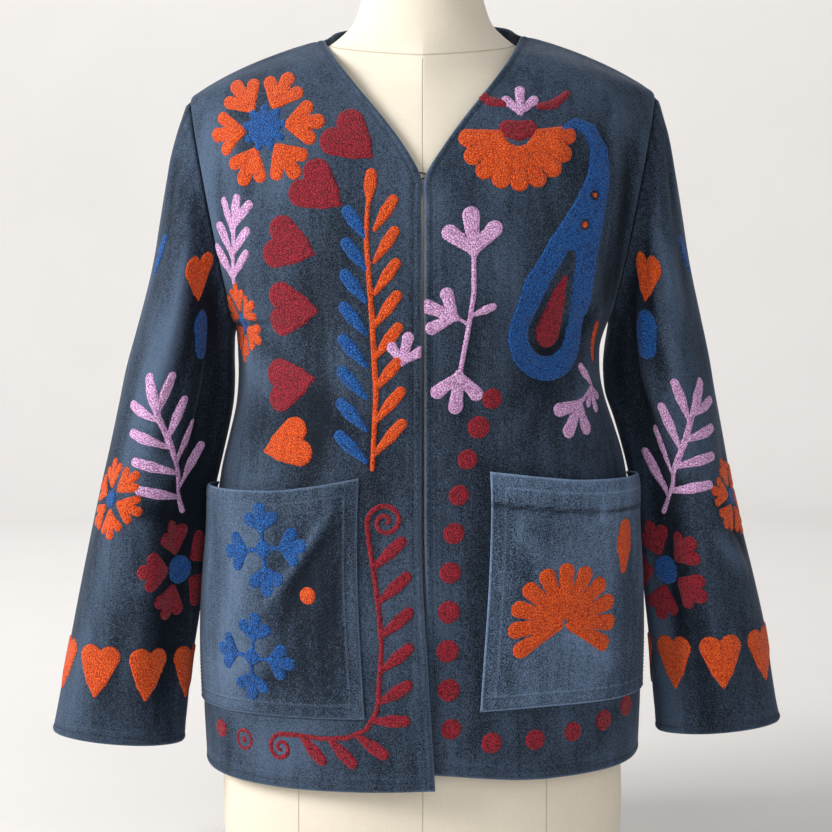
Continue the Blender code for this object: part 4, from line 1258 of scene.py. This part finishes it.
class Panel:
    """A cloth surface laid flat, which finds the point that lies at a flat place."""

    def __init__(self, surface, outward, across, up, from_behind=False):
        rows, columns = surface.shape[:2]
        self.from_behind = from_behind
        self.points = lifted(surface).reshape(-1, 3)
        self.outward = outward.reshape(-1, 3)
        self.flat = np.stack([across, up], axis=-1).reshape(-1, 2)
        a, b, c, d = cell_corners(np.arange(rows * columns).reshape(rows, columns))
        halves = [np.stack(corners, axis=-1).reshape(-1, 3) for corners in ((a, b, c), (a, c, d))]
        self.triangles = np.concatenate(halves)
        flat = np.concatenate([self.flat, np.zeros((len(self.flat), 1))], axis=1)
        self.flat_tree = BVHTree.FromPolygons(flat.tolist(), self.triangles.tolist())
        self.body_tree = BVHTree.FromPolygons(self.points.tolist(), self.triangles.tolist())

    def shares(self, corners, places):
        """Shares of a triangle's corners at places in its plane."""
        first = corners[:, 1] - corners[:, 0]
        second = corners[:, 2] - corners[:, 0]
        run = places - corners[:, 0]
        pairs = ((first, first), (second, second), (first, second), (run, first), (run, second))
        one, two, both, by_first, by_second = ((p * q).sum(1) for p, q in pairs)
        size = one * two - both ** 2
        size = np.where(np.abs(size) < 1e-12, 1e-12, size)
        v = (two * by_first - both * by_second) / size
        w = (one * by_second - both * by_first) / size
        return np.stack([1 - v - w, v, w], axis=1)

    def find(self, places):
        """Points, ways out and a mark of which flat places are on the panel."""
        hits = [self.flat_tree.find_nearest(Vector((x, y, 0.0))) for x, y in places]
        found = np.array([hit[3] < ON_PANEL for hit in hits])
        triangles = self.triangles[[hit[2] for hit in hits]]
        shares = self.shares(self.flat[triangles], places)[..., None]
        points = (self.points[triangles] * shares).sum(1)
        outward = unit((self.outward[triangles] * shares).sum(1))
        return points, outward, found

    def seen_at(self, x, z):
        """Flat place of the point that shows at x and z from the panel's own side."""
        way = -1 if self.from_behind else 1
        point, _, hit, _ = self.body_tree.ray_cast(Vector((x, -1000.0 * way, z)), Vector((0, way, 0)))
        triangle = self.triangles[[hit]]
        shares = self.shares(self.points[triangle], np.array([point]))
        return (self.flat[triangle] * shares[..., None]).sum(1)[0]


def sleeve_panel(cloth, side, middle_deg):
    """A sleeve laid flat to both sides of a line down it; cut open opposite."""
    outer, outward, grid, cuff_run = cloth
    count = outer.shape[1]
    middle = int(round(middle_deg / 360 * count))
    order = (np.arange(count + 1) + middle - count // 2) % count
    run = run_from(grid[:, order], 1)
    run = run - run[:, count // 2][:, None]
    from_behind = middle_deg > 180
    return Panel(outer[:, order], outward[:, order], -side * run, cuff_run[:, order], from_behind)


def stroke_distance(places, strokes):
    """Distance outside a group of strokes that swell and taper along their points."""
    best = np.full(len(places), 1e6)
    for stroke in strokes:
        points = np.asarray(stroke, float)
        if len(points) == 1:
            points = np.repeat(points, 2, axis=0)
        for (x0, y0, r0), (x1, y1, r1) in zip(points[:-1], points[1:]):
            run = np.array([x1 - x0, y1 - y0])
            length2 = run @ run + 1e-9
            t = np.clip(((places - (x0, y0)) @ run) / length2, 0, 1)
            off = places - (x0, y0) - t[:, None] * run
            best = np.minimum(best, np.hypot(off[:, 0], off[:, 1]) - (r0 + (r1 - r0) * t))
    return best


def moved(strokes, place=(0.0, 0.0), turn_deg=0.0):
    """A group of strokes turned and put somewhere else."""
    turn_by = math.radians(turn_deg)
    cos, sin = math.cos(turn_by), math.sin(turn_by)
    return [
        [(place[0] + x * cos - y * sin, place[1] + x * sin + y * cos, r) for x, y, r in stroke]
        for stroke in strokes
    ]


def sew(panel, strokes, place, holes):
    """Raised thread over strokes at a flat place; returns points, faces and marks."""
    shape = moved(strokes, place)
    cut = moved(holes, place)
    spots = np.array([point for stroke in shape for point in stroke])
    reach = spots[:, 2:3]
    low = (spots[:, :2] - reach).min(0) - 2 * THREAD_PITCH
    high = (spots[:, :2] + reach).max(0) + 2 * THREAD_PITCH
    row_step = THREAD_PITCH * math.sqrt(3) / 2
    columns = int((high[0] - low[0]) / THREAD_PITCH) + 2
    rows = int((high[1] - low[1]) / row_step) + 2
    j, i = np.meshgrid(np.arange(rows), np.arange(columns), indexing="ij")
    places = np.stack([low[0] + (i + 0.5 * (j % 2)) * THREAD_PITCH, low[1] + j * row_step], axis=-1)
    places = places.reshape(-1, 2)

    def distance(at):
        best = stroke_distance(at, shape)
        return np.maximum(best, -stroke_distance(at, cut)) if cut else best

    off = distance(places)
    here = (j * columns + i)[:-1, :-1]
    right, above, beyond = here + 1, here + columns, here + columns + 1
    odd = (j % 2 == 1)[:-1, :-1, None]
    first = np.where(odd, np.stack([here, right, beyond], -1), np.stack([here, right, above], -1))
    second = np.where(odd, np.stack([here, beyond, above], -1), np.stack([right, beyond, above], -1))
    triangles = np.concatenate([first.reshape(-1, 3), second.reshape(-1, 3)])
    triangles = triangles[(off[triangles] < 0.5 * THREAD_PITCH).all(1)]
    used = np.unique(triangles)
    places = places[used]
    off = off[used]
    order = np.zeros(rows * columns, int)
    order[used] = np.arange(len(used))
    triangles = order[triangles]
    near = off > -0.4 * THREAD_PITCH
    steps = ((SLOPE_STEP, 0), (0, SLOPE_STEP))
    slant = np.stack([distance(places + step) - distance(places - step) for step in steps], axis=-1)
    slant /= np.maximum(np.linalg.norm(slant, axis=1, keepdims=True), 1e-6)
    places = places - slant * np.where(near, off, 0)[:, None]
    inside = np.where(near, 0.0, -off)
    points, outward, found = panel.find(places)
    swell = np.sqrt(1 - (1 - np.clip(inside / THREAD_SHOULDER, 0, 1)) ** 2)
    height = swell * (THREAD_RISE + THREAD_ROOT) - THREAD_ROOT
    points = points + outward * height[:, None]
    triangles = triangles[found[triangles].all(1)]
    return points, triangles, inside


def embroider(name, panel, slot, *work, flat=False):
    """Motifs in the colour that ends the name, where they show or at flat places."""
    parts = [
        sew(panel, strokes, (x, y) if flat else panel.seen_at(x, y), holes) for x, y, strokes, holes in work
    ]
    points, faces = merged([part[:2] for part in parts])
    marks = {"from_edge": np.concatenate([part[2] for part in parts])}
    piece = make_piece(name, points, faces.tolist(), THREADS[name.split("_")[-1]], marks)
    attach(piece, "root")


def petal(reach, start, narrow, wide, turn_deg=0.0):
    """One petal that widens from a start to a reach, upward before it is turned."""
    middle = start + (reach - start) * 0.6
    stroke = [(0, start, narrow), (0, middle, wide * 0.86), (0, reach - wide, wide)]
    return moved([stroke], (0, 0), turn_deg)


def daisy(count, reach, start, narrow, wide, turn_deg=0.0, span_deg=360.0):
    """Petals round a centre, or over part of a turn."""
    turns = [turn_deg + k * (span_deg / count) for k in range(count)]
    return [stroke for turn in turns for stroke in petal(reach, start, narrow, wide, turn)]


# Lobes of a petal: degrees aside, share of the petal's reach, half width per reach
LOBES = ((-19, 0.88, 0.118), (0, 1.0, 0.128), (19, 0.88, 0.118))


def lobed_petals(count, reach, start, turn_deg=0.0, plump=1.0):
    """Petals that each end in three lobes, round a centre."""
    strokes = []
    for k in range(count):
        around = turn_deg + k * 360.0 / count
        for lean, share, wide in LOBES:
            wide = wide * plump
            tip = moved([[(0, reach * share - reach * wide, reach * wide)]], (0, 0), lean)[0][0]
            strokes += moved([[(0, start, reach * 0.085), tip]], (0, 0), around)
    return strokes


HEART_FOOT = 2.4


def heart(width, height):
    """Two round lobes that run down to one blunt point."""
    lobe = width * 0.27
    side = width / 2 - lobe
    top = height / 2 - lobe
    foot = (0, -height / 2 + HEART_FOOT, HEART_FOOT)
    halves = [
        [(way * side, top, lobe), (way * side * 0.35, -height * 0.16, lobe * 0.72), foot] for way in (-1, 1)
    ]
    return [*halves, [(0.0, height * 0.1, lobe * 0.9)]]


def disc(radius):
    """A round dot."""
    return [[(0.0, 0.0, radius)]]


def leaf(x0, y0, x1, y1, wide):
    """A leaf from its stem end to its round end."""
    waist = (x0 + (x1 - x0) * 0.62, y0 + (y1 - y0) * 0.62, wide * 0.92)
    return [[(x0, y0, wide * 0.35), waist, (x1, y1, wide * 0.8)]]


def sprig(height, pairs, wide, rise=0.20):
    """An upright stem with leaves in pairs and one at its top."""
    stem_middle = (height * 0.015, height * 0.5, wide * 0.5)
    strokes = [[(0, 0, wide * 0.45), stem_middle, (0, height * 0.72, wide * 0.5)]]
    strokes += leaf(0, height * 0.66, height * 0.02, height - wide, wide)
    for k in range(pairs):
        foot = height * max(0.02, 0.30 - rise + 0.56 * k / max(1, pairs - 1))
        out = height * (0.25 - 0.03 * k)
        strokes += leaf(0, foot, -out, foot + height * rise, wide * 0.9)
        strokes += leaf(0, foot + height * 0.05, out, foot + height * (rise + 0.04), wide * 0.9)
    return strokes


def bud(size):
    """Three rounded leaves that open from one stem."""
    foot = (0, size * 0.04, size * 0.12)
    sides = [[foot, (way * size * 0.48, size * 0.46, size * 0.19)] for way in (-1, 1)]
    return [[(0, 0, size * 0.12), (0, size * 0.80, size * 0.20)], *sides]


def clover(size):
    """Three plump lobes on a short stem."""
    foot = (0, size * 0.04, size * 0.08)
    sides = [[foot, (way * size * 0.40, size * 0.42, size * 0.22)] for way in (-1, 1)]
    return [[(0, 0, size * 0.08), (0, size * 0.36, size * 0.17), (0, size * 0.70, size * 0.24)], *sides]


def four_buds(size):
    """Four clovers in a cross."""
    strokes = disc(size * 0.17)
    for k in range(4):
        stem = [[(0, 0, size * 0.06), (0, size * 0.34, size * 0.05)]]
        strokes += moved(stem + moved(clover(size * 0.62), (0, size * 0.34)), (0, 0), 90 * k)
    return strokes


def spiral(outer, turns, thick, start_deg, way=1):
    """A line that winds in to a centre from a start at the given angle."""
    steps = int(18 * turns)
    points = []
    for k in range(steps + 1):
        share = k / steps
        angle = math.radians(start_deg) + way * share * turns * 2 * math.pi
        radius = outer * (1 - share * 0.86)
        points.append((radius * math.cos(angle), radius * math.sin(angle), thick * (1 - 0.25 * share)))
    return [points]


def at(x, z, strokes, turn_deg=0.0, holes=()):
    """Work for one motif whose middle shows at x and z."""
    return x, z, moved(strokes, (0, 0), turn_deg), moved(holes, (0, 0), turn_deg)


# Wearer's right front
ROSETTE = (-131, 629)
HEARTS = ((-58, 617, 48), (-84, 576, 54), (-108, 531, 71), (-106, 479, 86), (-108, 419, 100))
CHEST_FLOWER = (-150, 468)
BRANCH = (-41, 350)
orange_branch = [[(0, 0, 2.2), (3, 60, 2.6), (0, 120, 2.6), (-5, 190, 2.4), (-3, 222, 2.2)]]
cobalt_branch = []
for k in range(8):
    foot = 12 + 26 * k
    orange_branch += leaf(2, foot, 24 - k, foot + 24, 6.0)
    cobalt_branch += leaf(-5, foot - 6, -27 + k, foot + 16, 6.6)
orange_branch += leaf(-3, 216, -1, 240, 6.2)
VINE_STEM = ((-45, 306), (-43, 288), (-39, 262), (-35, 232), (-33, 204), (-35, 176), (-37, 152), (-46, 137),
             (-62, 130), (-84, 129), (-106, 131), (-120, 131))
VINE_LEAVES = ((-40, 268, -17, 289), (-36, 240, -13, 260), (-34, 212, -11, 231), (-34, 184, -11, 202),
               (-36, 158, -12, 172), (-40, 144, -14, 143), (-54, 132, -32, 116), (-78, 129, -58, 109),
               (-102, 130, -84, 111))
VINE_MIDDLE = (-60.0, 200.0)
vine_strokes = [[(x, z, 2.4) for x, z in VINE_STEM]]
for ends in VINE_LEAVES:
    vine_strokes += leaf(*ends, 6.3)
vine_strokes += moved(spiral(15, 1.6, 2.5, 180, -1), (-30, 306))
vine_strokes += moved(spiral(11.5, 1.5, 2.4, 90, 1), (-120, 119.5))
vine_strokes = moved(vine_strokes, (-VINE_MIDDLE[0], -VINE_MIDDLE[1]))
HEM_RING = (-149, 121)
right_panel = Panel(*front_cloth["right"])
embroider(
    "embroidery_right_front_orange", right_panel, "velvet",
    at(*ROSETTE, lobed_petals(6, 53, 22, -25)),
    at(-113, 368, heart(42, 45), -74),
    at(*CHEST_FLOWER, lobed_petals(6, 34, 12, 0)),
    at(*BRANCH, orange_branch),
)
embroider(
    "embroidery_right_front_crimson", right_panel, "velvet",
    *[at(x, z, heart(45, 46), turn) for x, z, turn in HEARTS],
    at(*VINE_MIDDLE, vine_strokes),
    at(*HEM_RING, disc(9.5), holes=disc(6.0)),
    at(*HEM_RING, disc(3.2)),
    at(-170, 126, disc(8.0)),
)
embroider(
    "embroidery_right_front_cobalt", right_panel, "velvet",
    at(*ROSETTE, disc(15.5) + daisy(9, 21, 10, 3.4, 4.2)),
    at(*CHEST_FLOWER, disc(8.5)),
    at(*BRANCH, cobalt_branch),
)
embroider(
    "embroidery_right_front_lilac", right_panel, "velvet",
    at(-158, 501, sprig(78, 3, 5.8, 0.32), -14),
    at(-17, 436, bud(26), -14),
)

# Wearer's left front
PAISLEY_MIDDLE = (102, 458)
PAISLEY = [[(0, 0, 38), (7, 32, 34), (19, 68, 25), (33, 102, 17), (42, 132, 11.5), (42, 156, 8.4),
            (33, 172, 6.4), (20, 177, 5.0), (9, 171, 3.6)]]
PAISLEY_HOLES = [[(0, 2, 19), (9, 40, 11), (17, 66, 4.5)], [(29, 92, 4.6)], [(38, 117, 4.0)]]
PAISLEY_HEART = [[(0, 2, 12.5), (7, 34, 6.5), (12, 48, 2.6)]]
PAISLEY_DOTS = [[(29, 92, 3.0)], [(38, 117, 2.5)]]
DOTS = ((56, 407), (45, 384), (36, 358), (29, 329), (25, 298), (22, 266), (21, 234), (20, 202), (21, 170),
        (23, 138), (56, 126), (92, 127), (124, 131), (151, 137), (172, 145))
left_panel = Panel(*front_cloth["left"])
embroider(
    "embroidery_left_front_orange", left_panel, "velvet",
    at(78, 624, daisy(9, 50, 15, 4.0, 8.2, 96, 192)),
    at(*PAISLEY_MIDDLE, PAISLEY_DOTS),
    at(143, 452, leaf(0, -14, 0, 12, 8)),
)
embroider(
    "embroidery_left_front_crimson", left_panel, "velvet",
    *[at(x, z, disc(9.1 + 0.5 * math.sin(x))) for x, z in DOTS],
    at(*PAISLEY_MIDDLE, PAISLEY_HEART),
    at(78, 627, [[(-9, 0, 7.6), (0, -2, 9), (9, 0, 7.6)]]),
    at(57, 652, [[(-14, 8, 3.4), (-2, -2, 4.6), (10, -4, 3.4)]]),
    at(106, 650, [[(14, 8, 3.4), (2, -2, 4.6), (-10, -4, 3.4)]]),
)
embroider(
    "embroidery_left_front_cobalt", left_panel, "velvet",
    at(*PAISLEY_MIDDLE, PAISLEY, holes=PAISLEY_HOLES),
)
lilac_branch = [[(0, 0, 2.3), (7, 36, 2.4), (12, 68, 2.4), (12, 104, 2.3)]]
lilac_branch += moved(bud(38), (12, 102), 4)
lilac_branch += [[(8, 43, 1.8), (-4, 50, 1.8)]] + moved(bud(31), (-3, 49), 66)
lilac_branch += leaf(10, 50, 28, 57, 4.2)
lilac_branch += moved(bud(33), (0, 3), 174)
lilac_twig = [[(0, 0, 2.2), (-10, -7, 2.3), (-22, -15, 2.2)]]
lilac_twig += leaf(0, 2, -13, 17, 5.0)
lilac_twig += moved(bud(33), (-20, -13), 150)
lilac_twig += moved(bud(22), (0, -1), 196)
embroider(
    "embroidery_left_front_lilac", left_panel, "velvet",
    at(29, 424, lilac_branch),
    at(80, 640, bud(24)),
    at(141, 415, lilac_twig),
)

# Motifs of the pockets
right_pocket_panel = Panel(*pocket_cloth["right"])
embroider(
    "embroidery_right_pocket_cobalt", right_pocket_panel, "pocket_velvet",
    at(-131, 283, four_buds(43), 6),
    at(-141, 193, four_buds(41), -8),
)
embroider(
    "embroidery_right_pocket_orange", right_pocket_panel, "pocket_velvet",
    at(-94, 246, disc(7.4)),
)
embroider(
    "embroidery_left_pocket_orange", Panel(*pocket_cloth["left"]), "pocket_velvet",
    at(116, 224, daisy(11, 49, 6, 4.6, 7.4, -118, 262)),
    at(167, 284, leaf(0, -20, 3, 11, 13.5)),
)

# Motifs of the sleeves and the back
CUFF_HEART_PITCH = 44.0
CUFF_HEARTS_UP = 62.0
CUFF_HEIGHT = 140
sleeve_flower = lobed_petals(5, 45, 17, 20, 1.2)
for wearer, side, heart_x in (("right", -1, -236), ("left", 1, 256)):
    cloth = sleeve_cloth[wearer]
    front_side, behind, cuff = (sleeve_panel(cloth, side, degrees) for degrees in (90, 270, 0))
    cuff_middle = cuff.seen_at(heart_x, CUFF_HEIGHT)[0]
    hearts_across = [cuff_middle + CUFF_HEART_PITCH * k for k in range(-5, 6)]
    name = "embroidery_" + wearer
    embroider(
        name + "_cuff_orange", cuff, "velvet",
        *[at(across, CUFF_HEARTS_UP, heart(37, 46)) for across in hearts_across], flat=True,
    )
    name += "_sleeve"
    embroider(
        name + "_orange", front_side, "velvet",
        at(side * 188, 506, heart(46, 42), side * -12),
        at(side * 263, 320, lobed_petals(6, 36, 12, 15)),
    )
    embroider(name + "_crimson", front_side, "velvet", at(side * 208, 258, sleeve_flower))
    embroider(
        name + "_cobalt", front_side, "velvet",
        at(side * 208, 258, disc(12.5)),
        at(side * 187, 455, [[(0, -6, 12), (0, 9, 16)]]),
        at(side * 263, 320, disc(8)),
        at(side * 223, 525, leaf(0, -15, 0, 14, 6.5), side * 12),
    )
    embroider(name + "_lilac", front_side, "velvet", at(side * 205, 308, sprig(136, 4, 6.0), side * -31))
    name += "_behind"
    embroider(name + "_crimson", behind, "velvet", at(side * 238, 290, sleeve_flower))
    embroider(name + "_cobalt", behind, "velvet", at(side * 238, 290, disc(12.5)))
    embroider(name + "_lilac", behind, "velvet", at(side * 222, 350, sprig(120, 4, 5.2), side * 14))
back_panel = Panel(*back_cloth, from_behind=True)
embroider(
    "embroidery_back_orange", back_panel, "velvet",
    at(0, 540, lobed_petals(6, 60, 25)),
    *[at(side * 96, 330, daisy(9, 34, 13, 2.6, 6.4)) for side in (-1, 1)],
)
embroider(
    "embroidery_back_cobalt", back_panel, "velvet",
    at(0, 540, disc(18) + daisy(12, 22, 12, 3, 3.8)),
    *[at(side * 96, 330, disc(9)) for side in (-1, 1)],
    at(0, 322, four_buds(44)),
)
embroider(
    "embroidery_back_crimson", back_panel, "velvet",
    *[at(side * 88, 600, heart(44, 46), side * -20) for side in (-1, 1)],
    *[at(side * 50, 420, heart(44, 46), side * -10) for side in (-1, 1)],
    *[at(33.0 * k, 124, disc(8.4)) for k in range(-5, 6)],
)
embroider(
    "embroidery_back_lilac", back_panel, "velvet",
    *[at(side * 100, 430, sprig(96, 3, 5.0), side * 12) for side in (-1, 1)],
    at(0, 200, sprig(80, 3, 4.8)),
)

# Backdrop, light and camera
# A round pale floor that curves up into a pale wall all the way round, one large
# soft lamp from the left, a weak one from the front and one on the wall behind.

paper = Shader("backdrop_paper", Specular_IOR_Level=0.1)
grain = paper.noise(paper.place(), 3.0, 2.0)
pale = paper.mix(grain, (0.76, 0.745, 0.735), (0.80, 0.79, 0.78))
paper.finish(Base_Color=pale, Roughness=0.85 + grain * 0.1)
FLOOR_RADIUS = 3000.0
BEND_RADIUS = 900.0
WALL_HEIGHT = 3600.0
SWEEP_ROUND = 96
bend = np.linspace(0, math.pi / 2, 17)
profile = [(0.0, 0.0)]
profile += [(FLOOR_RADIUS + BEND_RADIUS * math.sin(t), BEND_RADIUS * (1 - math.cos(t))) for t in bend]
profile.append((FLOOR_RADIUS + BEND_RADIUS, WALL_HEIGHT))
turn = np.arange(SWEEP_ROUND) * 2 * math.pi / SWEEP_ROUND
sweep_points = [(0.0, 0.0, 0.0)]
sweep_points += [(r * math.cos(t), r * math.sin(t), z) for r, z in profile[1:] for t in turn]
sweep_faces = [(0, 1 + k, 1 + (k + 1) % SWEEP_ROUND) for k in range(SWEEP_ROUND)]
for ring in range(len(profile) - 2):
    for k in range(SWEEP_ROUND):
        a = 1 + ring * SWEEP_ROUND + k
        b = 1 + ring * SWEEP_ROUND + (k + 1) % SWEEP_ROUND
        sweep_faces.append((a, a + SWEEP_ROUND, b + SWEEP_ROUND, b))
sweep = make_piece("backdrop", sweep_points, sweep_faces, paper.material)


def soft_lamp(name, place, aim, size, power, colour):
    """A square soft lamp turned toward a point."""
    data = bpy.data.lights.new(name, "AREA")
    data.shape = "SQUARE"
    data.size = size
    data.energy = power
    data.color = colour
    lamp = bpy.data.objects.new(name, data)
    lamp.location = place
    lamp.rotation_euler = (Vector(aim) - Vector(place)).to_track_quat("-Z", "Y").to_euler()
    lamp.visible_camera = False
    bpy.context.scene.collection.objects.link(lamp)


soft_lamp("window_light", (-2.15, -0.95, 1.5), (0, 0, 0.45), 1.1, 72.0, (1.0, 0.985, 0.955))
soft_lamp("fill_light", (0.5, -2.4, 1.1), (0, 0, 0.4), 1.6, 11.0, (0.98, 0.985, 1.0))
soft_lamp("wall_light", (-0.5, 1.3, 2.9), (-0.5, 3.9, 0.7), 2.2, 54.0, (1.0, 0.985, 0.975))

world = bpy.data.worlds.new("studio")
world.use_nodes = True
background = world.node_tree.nodes["Background"]
background.inputs["Color"].default_value = (0.93, 0.93, 0.95, 1)
background.inputs["Strength"].default_value = 0.33
bpy.context.scene.world = world

CAMERA_PLACE = (-0.00565, -1.65, 0.473)
CAMERA_TILT_DEG = 2.988
lens = bpy.data.cameras.new("camera")
lens.sensor_width = 36.0
lens.lens = 82.1
camera = bpy.data.objects.new("camera", lens)
camera.location = CAMERA_PLACE
camera.rotation_euler = (math.radians(90 - CAMERA_TILT_DEG), 0, 0)
bpy.context.scene.collection.objects.link(camera)
bpy.context.scene.camera = camera
bpy.context.scene.view_settings.view_transform = "Standard"
